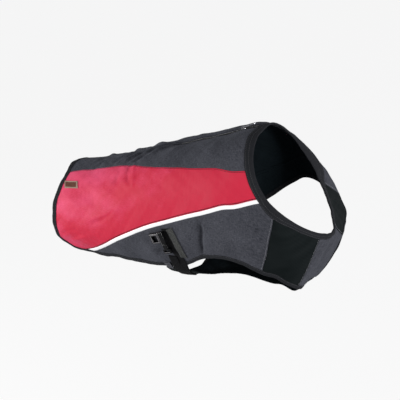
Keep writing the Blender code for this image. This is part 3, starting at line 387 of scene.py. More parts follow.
def neck_seam(side):
    """Lower edge of the neck binding on one side, from the spine to the chest line."""
    rows = np.array(NECK_SEAM[side])
    return lambda t: np.stack([smooth(rows[:, 1], rows[:, 0], np.asarray(t, float)),
                               side * np.asarray(t, float)], -1)


def neck_cloth(side):
    """Where the cloth ends inside the neck binding."""
    seam = neck_seam(side)
    return lambda t: seam(t) * (0.55, 1) + (0.45 * NECK_EDGE, 0)


free_edge, hem_cloth, hem_seam, at_strap = {}, {}, {}, {}
for side in (NEAR, FAR):
    free_edge[side] = curve(RUMP_AND_HEM + LEG_EDGE[side], side)
    hem_cloth[side] = moved_in(free_edge[side], 0.4 * BINDING_WIDTH, -side)
    hem_seam[side] = moved_in(free_edge[side], BINDING_WIDTH, -side)
    strap_line = joined((STRAP_AT_HEM, side * 0.6), (STRAP_AT_HEM, side * 0.9))
    at_strap[side] = where_they_meet(free_edge[side], strap_line)[0]

red_top, piping_top, piping_foot, meets = {}, {}, {}, {}
for side in (NEAR, FAR):
    line = curve(PIPING_LINE[side], side)
    whole = {"red_top": curve(RED_TOP_SEAM, side), "piping_top": moved_in(line, PIPING_WIDTH / 2, -side),
             "piping_foot": moved_in(line, PIPING_WIDTH / 2, side)}
    for name, seam in whole.items():
        from_rump, on_rump = where_they_meet(seam, hem_cloth[side])
        from_neck, on_neck = where_they_meet(seam, neck_cloth(side))
        meets[name, side] = (on_rump, on_neck)
        whole[name] = evenly(part_of(seam, from_rump, from_neck))
    red_top[side], piping_top[side], piping_foot[side] = whole.values()

CLOTH_STEP = 2.6
SEAM_ROUNDING = (0.0, 0.35, 0.9, 1.7)
SEAM_DEPTH, SEAM_RADIUS = 1.25, 1.7
PUCKER, PUCKER_LENGTH, PUCKER_REACH = 0.22, 7.5, 7.0
PUCKER_DRIFT, PUCKER_DRIFT_LENGTH = 1.3, 31


def cloth_steps(length, step=CLOTH_STEP):
    """Parameters of rows across a piece: close together at its two seams, even between them."""
    near_seam = np.array(SEAM_ROUNDING) / length
    count = max(int(ceil(length * (1 - 2 * near_seam[-1]) / step)), 1)
    between = np.linspace(near_seam[-1], 1 - near_seam[-1], count + 1)
    return np.r_[near_seam[:-1], between, (1 - near_seam[:-1])[::-1]]


def patch(low, high, start, end, rows=None, columns=None):
    """Grid of places inside four curves: low and high run start to end, start and end low to high."""
    rows = cloth_steps(max(length_of(low), length_of(high))) if rows is None else np.asarray(rows)
    columns = cloth_steps(max(length_of(start), length_of(end))) if columns is None else np.asarray(columns)
    t, v = rows[:, None, None], columns[None, :, None]
    ruled = ((1 - v) * low(rows)[:, None] + v * high(rows)[:, None]
             + (1 - t) * start(columns)[None] + t * end(columns)[None])
    return ruled - ((1 - t) * ((1 - v) * low(0.0) + v * high(0.0)) + t * ((1 - v) * low(1.0) + v * high(1.0)))


def on_the_flat(places):
    """Where places lie on the flat cloth, metres: along the coat, and round it from the spine."""
    share = (places[..., 1] + 1) % 2 - 1
    girth = np.where(share >= 0, np.interp(places[..., 0], alongs, HALF_GIRTH[1]),
                     np.interp(places[..., 0], alongs, HALF_GIRTH[0]))
    return np.stack([places[..., 0], places[..., 1] * girth], -1) * MM


def add_piece(name, points, faces, flat, finishes, inner=None):
    """A mesh object at the origin from points in millimetres, with its flat layout as its UV map."""
    mesh = bpy.data.meshes.new(name)
    mesh.from_pydata((points * MM).tolist(), [], faces)
    corner_points = np.empty(len(mesh.loops), np.int32)
    mesh.loops.foreach_get("vertex_index", corner_points)
    mesh.uv_layers.new(name="flat").data.foreach_set("uv", flat[corner_points].astype(np.float32).ravel())
    for finish in finishes:
        mesh.materials.append(finish)
    if inner is not None:
        mesh.polygons.foreach_set("material_index", inner.astype(np.int32))
    mesh.shade_smooth()
    piece = bpy.data.objects.new(name, mesh)
    bpy.context.scene.collection.objects.link(piece)
    return piece


def cloth_piece(name, places, finish, lining, removed=None, phase=0.0):
    """A wall of cloth over a grid of places. Its borders are turned down into the seams and pucker a little."""
    rows, columns = places.shape[0] - 1, places.shape[1] - 1
    plain = form_points(places[..., 0], places[..., 1])
    to_row = np.linalg.norm(np.diff(plain, axis=0), axis=2)
    to_column = np.linalg.norm(np.diff(plain, axis=1), axis=2)
    down = np.concatenate([np.zeros((1, columns + 1)), np.cumsum(to_row, 0)])
    over = np.concatenate([np.zeros((rows + 1, 1)), np.cumsum(to_column, 1)], 1)
    from_ends = np.minimum(down, down[-1:] - down)
    from_sides = np.minimum(over, over[:, -1:] - over)
    kept = np.ones((rows, columns), bool)
    if removed is not None:
        kept = ~removed
        cut_columns = np.flatnonzero(removed.any(0))
        cut_rows = np.flatnonzero(removed.any(1))
        outside = np.maximum(cut_rows[0] - np.arange(rows + 1), 0)[:, None] * CLOTH_STEP
        left, end = over[:, cut_columns[0]][:, None], over[:, cut_columns[-1] + 1][:, None]
        from_slit = np.hypot(np.maximum(np.maximum(left - over, over - end), 0), outside)
        from_sides = np.minimum(from_sides, from_slit)
    border = np.minimum(from_ends, from_sides)
    turned = np.clip(1 - border / SEAM_RADIUS, 0, 1)
    lowered = SEAM_DEPTH * (1 - np.sqrt(1 - turned**2))
    gathers = [np.sin(2 * pi * run / PUCKER_LENGTH + phase + PUCKER_DRIFT * np.sin(run / PUCKER_DRIFT_LENGTH))
               * np.exp(-(off / PUCKER_REACH) ** 2) for run, off in ((down, from_sides), (over, from_ends))]
    pucker = PUCKER * (gathers[0] + gathers[1])
    base = fold_height(places[..., 0], places[..., 1]) + pucker * np.clip(border / 2, 0, 1)
    normal = outward(places[..., 0], places[..., 1])
    outer = plain + normal * (base + CLOTH_WALL / 2 - lowered)[..., None]
    inner = plain + normal * (base - CLOTH_WALL / 2)[..., None]
    size = (rows + 1) * (columns + 1)
    points = np.concatenate([outer.reshape(-1, 3), inner.reshape(-1, 3)])
    flat = np.concatenate([on_the_flat(places).reshape(-1, 2)] * 2)
    index = np.arange(size).reshape(rows + 1, columns + 1)
    cell_corners = (index[:-1, :-1], index[1:, :-1], index[1:, 1:], index[:-1, 1:])
    outer_faces = np.stack([corner[kept] for corner in cell_corners], -1)
    inner_faces = outer_faces[:, ::-1] + size
    rims = []
    padded_kept = np.pad(kept, 1)
    for (di, dj), (p, q) in {(0, -1): (0, 1), (1, 0): (1, 2), (0, 1): (2, 3), (-1, 0): (3, 0)}.items():
        bare = kept & ~padded_kept[1 + di:1 + di + rows, 1 + dj:1 + dj + columns]
        corners = np.stack([corner[bare] for corner in cell_corners], -1)
        rims.append(np.stack([corners[:, q], corners[:, p], corners[:, p] + size, corners[:, q] + size], -1))
    faces = np.concatenate([outer_faces, inner_faces, *rims])
    lined = np.r_[np.zeros(len(outer_faces)), np.ones(len(inner_faces)), np.zeros(sum(map(len, rims)))]
    used, place = np.unique(faces, return_inverse=True)
    faces = place.reshape(faces.shape)
    if outwards_is_in(points[used], faces):
        faces = faces[:, ::-1]
    return add_piece(name, points[used], faces.tolist(), flat[used], [finish, lining], lined)


def outwards_is_in(points, faces):
    """True if a closed mesh of quads is inside out."""
    a, b, c, d = (points[faces[:, k]] for k in range(4))
    return (np.cross(b, c) * a).sum() + (np.cross(c, d) * a).sum() < 0


class Thread:
    """An output of a material's nodes. Sums and products of threads add their Math nodes."""

    def __init__(self, finish, socket):
        self.finish, self.socket = finish, socket

    def work(self, operation, *values):
        return self.finish.node("Math", {"operation": operation}, dict(enumerate(values)))

    def __add__(self, other):
        return self.work("ADD", self, other)

    def __sub__(self, other):
        return self.work("SUBTRACT", self, other)

    def __rsub__(self, other):
        return self.work("SUBTRACT", other, self)

    def __mul__(self, other):
        return self.work("MULTIPLY", self, other)

    def __gt__(self, other):
        return self.work("GREATER_THAN", self, other)

    def __abs__(self):
        return self.work("ABSOLUTE", self)

    def lesser(self, other):
        return self.work("MINIMUM", self, other)

    __radd__, __rmul__ = __add__, __mul__

    def wave(self, length):
        """A sine over the given length in metres."""
        return self.work("SINE", self * (2 * pi / length))


class Finish:
    """A material on a Principled shader, with its nodes made from types, settings and values."""

    def __init__(self, name, **fixed):
        self.material = bpy.data.materials.new(name)
        self.material.use_nodes = True
        self.tree = self.material.node_tree
        self.shader = self.tree.nodes["Principled BSDF"]
        for socket, value in fixed.items():
            words = [word if word.isupper() else word.title() for word in socket.split("_")]
            self.shader.inputs[" ".join(words)].default_value = value

    def node(self, kind, settings, values, output=0):
        node = self.tree.nodes.new("ShaderNode" + kind)
        for key, value in settings.items():
            if key == "stops":
                ramp = node.color_ramp
                while len(ramp.elements) < len(value):
                    ramp.elements.new(0.5)
                for element, (position, colour) in zip(ramp.elements, value):
                    element.position, element.color = position, (*colour, 1)
            else:
                setattr(node, key, value)
        for key, value in values.items():
            if isinstance(value, Thread):
                self.tree.links.new(value.socket, node.inputs[key])
            else:
                node.inputs[key].default_value = value
        return Thread(self, node.outputs[output])

    def flat_layout(self):
        """The piece's own layout on the flat cloth, metres along and across."""
        flat = self.node("UVMap", {"uv_map": "flat"}, {})
        return flat, self.node("SeparateXYZ", {}, {0: flat}, "X"), self.node("SeparateXYZ", {}, {0: flat}, "Y")

    def spots(self, along, across, stretch, detail=2.0, roughness=0.5):
        """Noise on the flat layout, with its size in metres along and across."""
        place = self.node("CombineXYZ", {}, {0: along * (1 / stretch[0]), 1: across * (1 / stretch[1])})
        return self.node("TexNoise", {"noise_dimensions": "3D"},
                         {"Vector": place, "Scale": 1.0, "Detail": detail, "Roughness": roughness}, "Fac")

    def grain(self, scale, detail):
        """Noise in the piece's own space, for hard pieces."""
        where = self.node("TexCoord", {}, {}, "Object")
        return self.node("TexNoise", {}, {"Vector": where, "Scale": scale, "Detail": detail}, "Fac")

    def ramp(self, value, *stops):
        return self.node("ValToRGB", {"stops": stops}, {0: value}, "Color")

    def mixed(self, share, one, other, blend="MIX"):
        return self.node("Mix", {"data_type": "RGBA", "blend_type": blend}, {0: share, 6: one, 7: other}, 2)

    def bump(self, height, strength, distance, under=None):
        values = {"Height": height, "Strength": strength, "Distance": distance}
        if under is not None:
            values["Normal"] = under
        return self.node("Bump", {}, values, "Normal")

    def feed(self, socket, thread):
        self.tree.links.new(thread.socket, self.shader.inputs[socket])


def woven(finish, along, across, pitch):
    """Height of a plain weave, 0 to 1: threads that go over and under each other."""
    warp, weft = along.wave(2 * pitch), across.wave(2 * pitch)
    over = warp * weft > 0.0
    return over * abs(weft) + (1 - over) * abs(warp)


def heathered_cloth(name, dark, light, pitch, sheen, sheen_tint, soft=0.75):
    """Polyester cloth of mixed dark and light yarns, brushed, with a soft sheen."""
    cloth = Finish(name, roughness=soft, sheen_weight=sheen, sheen_roughness=0.45, sheen_tint=(*sheen_tint, 1),
                   specular_IOR_level=0.08)
    flat, along, across = cloth.flat_layout()
    yarn = cloth.spots(along, across, (0.0050, 0.0009)) * 0.55 + cloth.spots(along, across, (0.0009, 0.0060)) * 0.45
    cloudy = cloth.spots(along, across, (0.045, 0.060), 3.0)
    weave = woven(cloth, along, across, pitch)
    tone = cloth.ramp(yarn * 0.8 + cloudy * 0.2, (0.36, dark), (0.66, light))
    shaded = cloth.mixed(0.35, tone, cloth.ramp(weave, (0.0, (0.35, 0.35, 0.35)), (0.7, (1, 1, 1))), "MULTIPLY")
    cloth.feed("Base Color", shaded)
    cloth.feed("Roughness", cloth.spots(along, across, (0.02, 0.03)) * 0.2 + (soft - 0.1))
    rippled = cloth.spots(along, across, (0.007, 0.025), 2.0)
    cloth.feed("Normal", cloth.bump(weave, 0.35, 0.0003, cloth.bump(yarn, 0.25, 0.0004,
                                                                    cloth.bump(rippled, 0.4, 0.0012))))
    return cloth.material


charcoal_cloth = heathered_cloth("charcoal_cloth", (0.026, 0.027, 0.034), (0.098, 0.101, 0.120), 0.0008,
                                 0.06, (0.75, 0.80, 0.95))
lining_mesh = Finish("black_lining", roughness=0.95, specular_IOR_level=0.03)
flat, along, across = lining_mesh.flat_layout()
lining_holes = along.wave(0.0032) * across.wave(0.0032)
lining_mesh.feed("Base Color", lining_mesh.ramp(lining_holes * 0.5 + 0.5, (0.2, (0.0040, 0.0065, 0.0085)),
                                                (0.6, (0.0095, 0.0140, 0.0170))))
lining_mesh.feed("Normal", lining_mesh.bump(lining_holes, 0.4, 0.0003))
black_lining = lining_mesh.material

ZIP_END, ZIP_POINT, SLIT_HALF = 290, 14, 3.2
SLIT_LEAST, SLIT_EASING = 0.12, 5


def between_sides(path_of_side, end_name, which):
    """The stretch of an edge between the near and the far end of a lengthwise seam."""
    near_end, far_end = meets[end_name, NEAR][which], meets[end_name, FAR][which]

    def place(v):
        v = np.asarray(v, float)
        near_part = path_of_side(NEAR)(near_end * np.clip(1 - 2 * v, 0, 1))
        far_part = path_of_side(FAR)(far_end * np.clip(2 * v - 1, 0, 1))
        return np.where((v < 0.5)[..., None], near_part, far_part)
    return place


back_width = length_of(between_sides(neck_cloth, "red_top", 1)) / 2
half_steps = cloth_steps(back_width) * 0.5
slit_share = SLIT_HALF / back_width / 2
columns = np.r_[half_steps[:-1] * (1 - 2 * slit_share), 0.5 - slit_share, 0.5,
                0.5 + slit_share, 1 - (half_steps[:-1] * (1 - 2 * slit_share))[::-1]]
back_places = patch(red_top[NEAR], red_top[FAR], between_sides(lambda s: hem_cloth[s], "red_top", 0),
                    between_sides(neck_cloth, "red_top", 1), columns=columns)
centre = len(half_steps)
spine = back_places[:, centre, 0]
opened = np.clip((spine - ZIP_END) / ZIP_POINT, SLIT_LEAST, 1) * SLIT_HALF / MEAN_HALF_GIRTH
for column, sign in ((centre - 1, NEAR), (centre + 1, FAR)):
    pull_in = sign * opened - back_places[:, column, 1]
    for k in range(SLIT_EASING):
        beside = column + sign * k
        back_places[:, beside, 1] += pull_in * (1 - k / SLIT_EASING)
back_places[:, centre, 1] = 0
slit = np.zeros((back_places.shape[0] - 1, back_places.shape[1] - 1), bool)
slit[np.flatnonzero(spine[:-1] > ZIP_END), centre - 1:centre + 1] = True
back_cloth = cloth_piece("back_panel_cloth", back_places, charcoal_cloth, black_lining, slit)
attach(back_cloth, "coat")
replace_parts(back_cloth, "back_panel")

# ==== Side panels ==================================================================
# Two mirrored panels of satin-faced red polyester, from the back seam down to the
# white piping. Their colour carries a painted sheen, lighter and pinker towards the rump.
red_finish = Finish("red_cloth", roughness=0.6, sheen_weight=0.22, sheen_roughness=0.35,
                    sheen_tint=(1.0, 0.38, 0.68, 1), specular_IOR_level=0.10)
flat, along, across = red_finish.flat_layout()
satin = (red_finish.spots(along, across, (0.0060, 0.0008)) * 0.5
         + red_finish.spots(along, across, (0.0010, 0.0010)) * 0.5)
brushed = red_finish.spots(along, across, (0.055, 0.040), 3.0)
red_weave = woven(red_finish, along, across, 0.0007)
# Painted sheen: the red is lighter and pinker towards the rump, on the near panel towards its top and on the far
# panel towards its foot, with a slow cloud of noise.
painted_sheen_gradient = along * -1.1 + across * 2.4 + red_finish.spots(along, across, (0.12, 0.05), 2.0) * 0.6
red_tone = red_finish.ramp(satin * 0.35 + brushed * 0.25 + painted_sheen_gradient * 0.40, (0.20, (0.66, 0.026, 0.062)),
                           (0.49, (1.0, 0.145, 0.300)))
red_finish.feed("Base Color", red_finish.mixed(
    0.22, red_tone, red_finish.ramp(red_weave, (0.0, (0.4, 0.4, 0.4)), (0.7, (1, 1, 1))), "MULTIPLY"))
red_finish.feed("Roughness", brushed * 0.25 + 0.45)
rippled = red_finish.spots(along, across, (0.006, 0.022), 2.0)
red_finish.feed("Normal", red_finish.bump(red_weave, 0.30, 0.00025, red_finish.bump(
    satin, 0.2, 0.0003, red_finish.bump(rippled, 0.45, 0.0012))))
red_cloth = red_finish.material
for side in (NEAR, FAR):
    rump_from, neck_from = meets["red_top", side]
    rump_to, neck_to = meets["piping_top", side]
    side_places = patch(red_top[side], piping_top[side], part_of(hem_cloth[side], rump_from, rump_to),
                        part_of(neck_cloth(side), neck_from, neck_to))
    side_cloth = cloth_piece("side_panel_cloth_" + SIDE_NAME[side], side_places, red_cloth, black_lining,
                             phase=side)
    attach(side_cloth, "coat")
    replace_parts(side_cloth, "side_panel_" + SIDE_NAME[side])


def thread_material(name, dark, light, gloss=0.45):
    """Twisted polyester sewing thread; its layout runs along each stitch."""
    thread = Finish(name, roughness=gloss, specular_IOR_level=0.2)
    flat, along, across = thread.flat_layout()
    twist = (along + across * 1.5).wave(0.0007)
    thread.feed("Base Color", thread.ramp(twist * 0.5 + 0.5, (0.1, dark), (0.9, light)))
    thread.feed("Normal", thread.bump(twist, 0.5, 0.0001))
    return thread.material


THREAD_WIDE, THREAD_HIGH, THREAD_SIDES, STITCH_SAMPLES = 0.62, 0.5, 6, 1200


def stitches(name, path, lift, finish, pitch=3.4, length=2.7, thick=0.55, inset=0.0):
    """A seam's row of lockstitches over the cloth; each dives into it at both ends."""
    run = np.linspace(inset, 1 - inset, STITCH_SAMPLES)
    places = path(run)
    reach = np.r_[0, np.cumsum(np.linalg.norm(np.diff(cloth_points(places[:, 0], places[:, 1]), axis=0), axis=1))]
    starts = np.arange(0.5 * pitch, reach[-1] - length, pitch)
    begin, end = (path(np.interp(starts + d, reach, run)) for d in (0, length))
    rounds = np.array([(0.0, 0.25, -0.50), (0.10, 0.80, -0.10), (0.30, 1.0, 0.08), (0.70, 1.0, 0.08),
                       (0.90, 0.80, -0.10), (1.0, 0.25, -0.50)])
    turn = np.linspace(0, 2 * pi, THREAD_SIDES + 1)[:-1]
    a, b = cloth_points(begin[:, 0], begin[:, 1], lift), cloth_points(end[:, 0], end[:, 1], lift)
    out = outward(begin[:, 0], begin[:, 1])
    beside = np.cross(out, b - a)
    beside /= np.linalg.norm(beside, axis=1, keepdims=True)
    share, size, sink = rounds.T
    centre = a[:, None] + (b - a)[:, None] * share[None, :, None] + out[:, None] * sink[None, :, None] * thick
    ring = (beside[:, None] * np.cos(turn)[None, :, None] * THREAD_WIDE
            + out[:, None] * np.sin(turn)[None, :, None] * THREAD_HIGH) * thick
    points = centre[:, :, None] + ring[:, None] * size[None, :, None, None]
    count = len(points)
    flat = np.stack(np.broadcast_arrays(share[None, :, None] * length, turn[None, None, :] * thick / 2
                                        + np.zeros((count, 1, 1))), -1).reshape(-1, 2) * MM
    index = np.arange(points[..., 0].size).reshape(count, len(rounds), THREAD_SIDES)
    here, ahead = index[:, :-1], index[:, 1:]
    faces = np.stack([here, np.roll(here, -1, 2), np.roll(ahead, -1, 2), ahead], -1).reshape(-1, 4)
    points = points.reshape(-1, 3)
    turned = outwards_is_in(points, faces)
    caps = index[:, 0, ::-1].tolist() + index[:, -1].tolist()
    faces = (faces[:, ::-1] if turned else faces).tolist() + [cap[::-1] if turned else cap for cap in caps]
    row = add_piece(name, points, faces, flat, [finish])
    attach(row, "coat")
    return row


# Dark red thread runs close above the piping, and the same along the top seam. The thick dark row above the piping
# is partly stitching and partly painted shade of the seam's ditch.
red_thread_and_seam_shade = thread_material("dark_red_thread", (0.06, 0.002, 0.007), (0.17, 0.006, 0.018))
for side in (NEAR, FAR):
    for seam, paths, inside, width, thick in (("top", red_top, side, 2.2, 0.7),
                                              ("foot", piping_top, -side, 2.0, 1.2)):
        stitches("side_panel_" + seam + "_stitches_" + SIDE_NAME[side],
                         moved_in(paths[side], width, inside), CLOTH_WALL / 2, red_thread_and_seam_shade,
                         pitch=2.9, inset=0.004, thick=thick)

# ==== Piping =======================================================================
# A flat white reflective strip, sewn into the seam between the red and the charcoal
# cloth, from the hem to the neck binding. It glows faintly: painted light for its shine.
PIPING_PROFILE = [(0.0, -0.9), (0.0, 0.2), (0.06, 0.85), (0.14, 1.15), (0.32, 1.35), (0.5, 1.40), (0.68, 1.35),
                  (0.86, 1.15), (0.94, 0.85), (1.0, 0.2), (1.0, -0.9)]


def strip_piece(name, edge, other, samples, profile, finish, closed=False, lift_along=None, lined=None):
    """A loft of a profile (part of the width, lift in mm) between two curves over the cloth.

    The lining covers the faces whose places in the profile are in lined.
    """
    t = np.linspace(0, 1, samples + 1)[:-1 if closed else None]
    a, b = edge(t)[:, None], other(t)[:, None]
    across, lift = np.array(profile).T
    places = a + (b - a) * across[None, :, None]
    lift = np.broadcast_to(lift, places.shape[:2])
    if lift_along is not None:
        lift = lift + lift_along(t)[:, None]
    points = cloth_points(places[..., 0], places[..., 1], lift)
    count, size = points.shape[:2]
    round_it = np.r_[0, np.cumsum(np.linalg.norm(np.diff(points, axis=1), axis=2).mean(0))]
    run = np.r_[0, np.cumsum(np.linalg.norm(np.diff(points, axis=0), axis=2).mean(1))]
    flat = np.stack(np.broadcast_arrays(run[:, None], round_it[None]), -1) * MM
    index = np.arange(count * size).reshape(count, size)
    ahead = np.roll(index, -1, 0) if closed else index[1:]
    here = index if closed else index[:-1]
    faces = np.stack([here, np.roll(here, -1, 1), np.roll(ahead, -1, 1), ahead], -1).reshape(-1, 4)
    points = points.reshape(-1, 3)
    turned = outwards_is_in(points, faces)
    if turned:
        faces = faces[:, ::-1]
    faces = faces.tolist()
    covered = np.isin(np.arange(len(faces)) % size, lined if lined else [])
    if not closed:
        first, last = index[0].tolist(), index[-1].tolist()
        faces += [first[::-1], last] if turned else [first, last[::-1]]
        covered = np.r_[covered, False, False]
    return add_piece(name, points, faces, flat.reshape(-1, 2), [finish, black_lining], covered)


PIPING_LENGTH = {NEAR: 0.459, FAR: 0.500}
# The emission makes the strip glow faintly though it is no lamp: painted light for its reflective shine.
white_finish = Finish("white_piping", roughness=0.35, specular_IOR_level=0.6,
                      emission_color=(1, 1, 1, 1), emission_strength=0.22)
flat, along, across = white_finish.flat_layout()
beads = white_finish.node("TexVoronoi", {"feature": "F1"}, {"Vector": flat, "Scale": 1400.0}, "Distance")
white_finish.feed("Base Color", white_finish.ramp(beads, (0.0, (0.92, 0.92, 0.92)), (0.9, (0.80, 0.80, 0.81))))
white_finish.feed("Normal", white_finish.bump(beads, 0.15, 0.0002))
white_piping = white_finish.material
for side in (NEAR, FAR):
    piping = strip_piece("piping_strip_" + SIDE_NAME[side], piping_top[side], piping_foot[side], 240,
                         PIPING_PROFILE, white_piping, lined=[0, len(PIPING_PROFILE) - 2, len(PIPING_PROFILE) - 1])
    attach(piping, "coat")
    0.0085 * PIPING_LENGTH[side]
    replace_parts(piping, "piping_" + SIDE_NAME[side])

# ==== Flank panels =================================================================
# Charcoal cloth below the piping, from the hem's corner to the seam of the stretch
# panel. It carries the ribbed tape, the buckle and the end of the girth strap.
FLANK_SEAM = {NEAR: [(484.8, 0.440), (479, 0.481), (469, 0.546), (461, 0.611), (451, 0.674), (446, 0.705)],
              FAR: [(484.8, 0.484), (482, 0.495), (476, 0.508), (470, 0.520), (462, 0.532), (455, 0.545)]}
CHEST_SEAM = {NEAR: [(484.8, 0.832), (483, 0.837), (478, 0.846), (471, 0.858), (463, 0.868), (456, 0.880)],
              FAR: [(484.8, 0.834), (483, 0.822), (480, 0.785), (476.5, 0.745), (473, 0.720), (466, 0.690)]}
FLANK_CUT = {NEAR: (0.160, 0.386), FAR: (0.146, 0.386)}
FLANK_START, FLANK_CROWDING = 0.022, 0.14
SEAM_STITCHES_IN = 2.4


def crowded(path):
    """The same curve with its places pushed on towards its end, to meet the piping squarely."""
    return lambda t: path(t + FLANK_CROWDING * np.sin(pi * np.asarray(t)))


flank_seam, chest_seam, seam_ends = {}, {}, {}
for side in (NEAR, FAR):
    for seams, rows, name in ((flank_seam, FLANK_SEAM, "flank"), (chest_seam, CHEST_SEAM, "chest")):
        seam = curve(rows[side], side)
        from_neck, on_neck = where_they_meet(seam, neck_cloth(side))
        from_leg, on_leg = where_they_meet(seam, hem_cloth[side])
        seam_ends[name, side] = (on_neck, on_leg)
        seams[side] = evenly(part_of(seam, from_neck, from_leg))

    rump_corner, neck_corner = meets["piping_foot", side]
    on_neck, on_leg = seam_ends["flank", side]
    first = rump_corner + FLANK_START * (on_leg - rump_corner)
    flank_top = part_of(piping_foot[side], FLANK_START, 1)
    flank_low = crowded(evenly(part_of(hem_cloth[side], first, on_leg)))
    neck_run = part_of(neck_cloth(side), neck_corner, on_neck)(np.linspace(0, 1, 13))
    seam_run = flank_seam[side](np.linspace(0, 1, 19)[1:])
    front = joined(*neck_run, *seam_run)
    flank_places = patch(flank_top, flank_low, joined(flank_top(0.0), flank_low(0.0)), front)
    flank_cloth = cloth_piece("flank_panel_cloth_" + SIDE_NAME[side], flank_places, charcoal_cloth, black_lining,
                              phase=2 * side)
    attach(flank_cloth, "coat")
    0.47 * FLANK_CUT[side][0] * FLANK_CUT[side][1]
    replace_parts(flank_cloth, "flank_panel_" + SIDE_NAME[side])

# The seam to the stretch panel is topstitched on the charcoal side.
charcoal_thread = thread_material("charcoal_thread", (0.13, 0.13, 0.14), (0.30, 0.30, 0.33))
for side in (NEAR, FAR):
    stitches("flank_seam_stitches_" + SIDE_NAME[side], moved_in(flank_seam[side], SEAM_STITCHES_IN, side),
                     CLOTH_WALL / 2, charcoal_thread, pitch=3.1, inset=0.05)

# ==== Stretch panels and belly panel ===============================================
# Smooth black stretch knit beside the neck and under the belly, which gives with the
# shoulders. It has no nap and only a dull gloss.
knit = Finish("black_stretch", roughness=0.6, sheen_weight=0.01, sheen_roughness=0.5, sheen_tint=(0.8, 0.9, 0.9, 1),
              specular_IOR_level=0.02)
flat, along, across = knit.flat_layout()
loops = along.wave(0.0012) * abs(across.wave(0.0018))
knit.feed("Base Color", knit.ramp(knit.spots(along, across, (0.03, 0.03), 3.0) * 0.7 + loops * 0.05 + 0.15,
                                  (0.3, (0.0055, 0.0078, 0.0082)), (0.75, (0.0125, 0.0155, 0.0162))))
knit.feed("Roughness", knit.spots(along, across, (0.012, 0.015)) * 0.15 + 0.48)
knit.feed("Normal", knit.bump(loops, 0.10, 0.0002))
black_stretch = knit.material
STRETCH_CUT = {NEAR: (0.100, 0.155), FAR: (0.104, 0.140)}
for side in (NEAR, FAR):
    (neck_from, leg_from), (neck_to, leg_to) = seam_ends["flank", side], seam_ends["chest", side]
    stretch_places = patch(part_of(neck_cloth(side), neck_from, neck_to),
                           part_of(hem_cloth[side], leg_from, leg_to), flank_seam[side], chest_seam[side])
    stretch_cloth = cloth_piece("stretch_panel_cloth_" + SIDE_NAME[side], stretch_places, black_stretch,
                                black_lining, phase=3 * side)
    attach(stretch_cloth, "coat")
    0.59 * STRETCH_CUT[side][0] * STRETCH_CUT[side][1]
    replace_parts(stretch_cloth, "stretch_panel_" + SIDE_NAME[side])


def past_the_chest(path):
    """The same curve with far shares counted on past the chest line, so that -1 is its middle."""
    def place(t):
        places = path(t)
        return np.stack([places[..., 0], np.where(places[..., 1] > 0, places[..., 1] - 2, places[..., 1])], -1)
    return place


BELLY_FRONT = 461.4
BELLY_EDGE = {NEAR: [(BELLY_FRONT, 0.944), (451, 0.952), (438, 0.962), (410, 0.956), (375, 0.945), (350, 0.905),
                     (333, 0.845), (318, 0.790), (298, 0.772), (266, 0.790)],
              FAR: [(BELLY_FRONT, 0.944), (451, 0.950), (438, 0.953), (410, 0.920), (370, 0.884), (335, 0.868),
                    (310, 0.868), (294, 0.905)]}
BELLY_REAR = [(266, -0.790), (270, -0.900), (280, -1.000), (294, -1.095)]
belly_near, belly_far = curve(BELLY_EDGE[NEAR], NEAR), past_the_chest(curve(BELLY_EDGE[FAR], FAR))
belly_cloth = cloth_piece("belly_panel_cloth",
                          patch(belly_near, belly_far, joined(belly_near(0.0), belly_far(0.0)), curve(BELLY_REAR)),
                          black_stretch, black_lining)
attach(belly_cloth, "coat")
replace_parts(belly_cloth, "belly_panel")

# ==== Chest panel ==================================================================
# Charcoal cloth over the breast, sewn between the two stretch panels and to the front
# edge of the belly panel.


def both_halves(near_half, far_half):
    """A curve made of one running to the chest line on the near side and one running away on the far side."""
    def place(t):
        t = np.asarray(t, float)
        near_part = near_half(np.clip(2 * t, 0, 1))
        far_part = past_the_chest(far_half)(np.clip(2 * t - 1, 0, 1))
        return np.where((t < 0.5)[..., None], near_part, far_part)
    return place


def chest_foot(side):
    """Lower edge of the chest panel: the leg binding's seam, then the belly panel's front edge."""
    from_seam = part_of(hem_cloth[side], seam_ends["chest", side][1], 1)
    return joined(*from_seam(np.linspace(0, 1, 13)), (BELLY_FRONT, side * 0.96), (BELLY_FRONT, side * 1.0))


def backwards(path):
    return lambda t: path(1 - np.asarray(t))


chest_neck = both_halves(part_of(neck_cloth(NEAR), seam_ends["chest", NEAR][0], 1),
                         part_of(neck_cloth(FAR), 1, seam_ends["chest", FAR][0]))
chest_low = both_halves(chest_foot(NEAR), backwards(chest_foot(FAR)))
chest_cloth = cloth_piece("chest_panel_cloth", patch(chest_neck, chest_low, chest_seam[NEAR],
                                                     past_the_chest(chest_seam[FAR])), charcoal_cloth, black_lining)
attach(chest_cloth, "coat")
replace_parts(chest_cloth, "chest_panel")

for side in (NEAR, FAR):
    stitches("chest_seam_stitches_" + SIDE_NAME[side], moved_in(chest_seam[side], SEAM_STITCHES_IN, side),
                     CLOTH_WALL / 2, charcoal_thread, pitch=3.1, inset=0.05)

# ==== Bindings =====================================================================
# Black knitted tape folded over every free edge and stitched through: wide round the
# neck, narrow round the rump, the hem and the two leg holes.
binding_finish = Finish("black_binding", roughness=0.8, sheen_weight=0.03, sheen_roughness=0.5,
                        sheen_tint=(0.85, 0.88, 0.95, 1), specular_IOR_level=0.04)
flat, along, across = binding_finish.flat_layout()
ribs = across.wave(0.0011)
tape_yarn = binding_finish.spots(along, across, (0.0012, 0.0012))
binding_finish.feed("Base Color", binding_finish.ramp(
    ribs * 0.2 + tape_yarn * 0.8 + 0.1, (0.25, (0.011, 0.0115, 0.0135)), (0.8, (0.029, 0.030, 0.034))))
binding_finish.feed("Normal", binding_finish.bump(ribs, 0.3, 0.0003, binding_finish.bump(tape_yarn, 0.3, 0.0003)))
black_binding = binding_finish.material


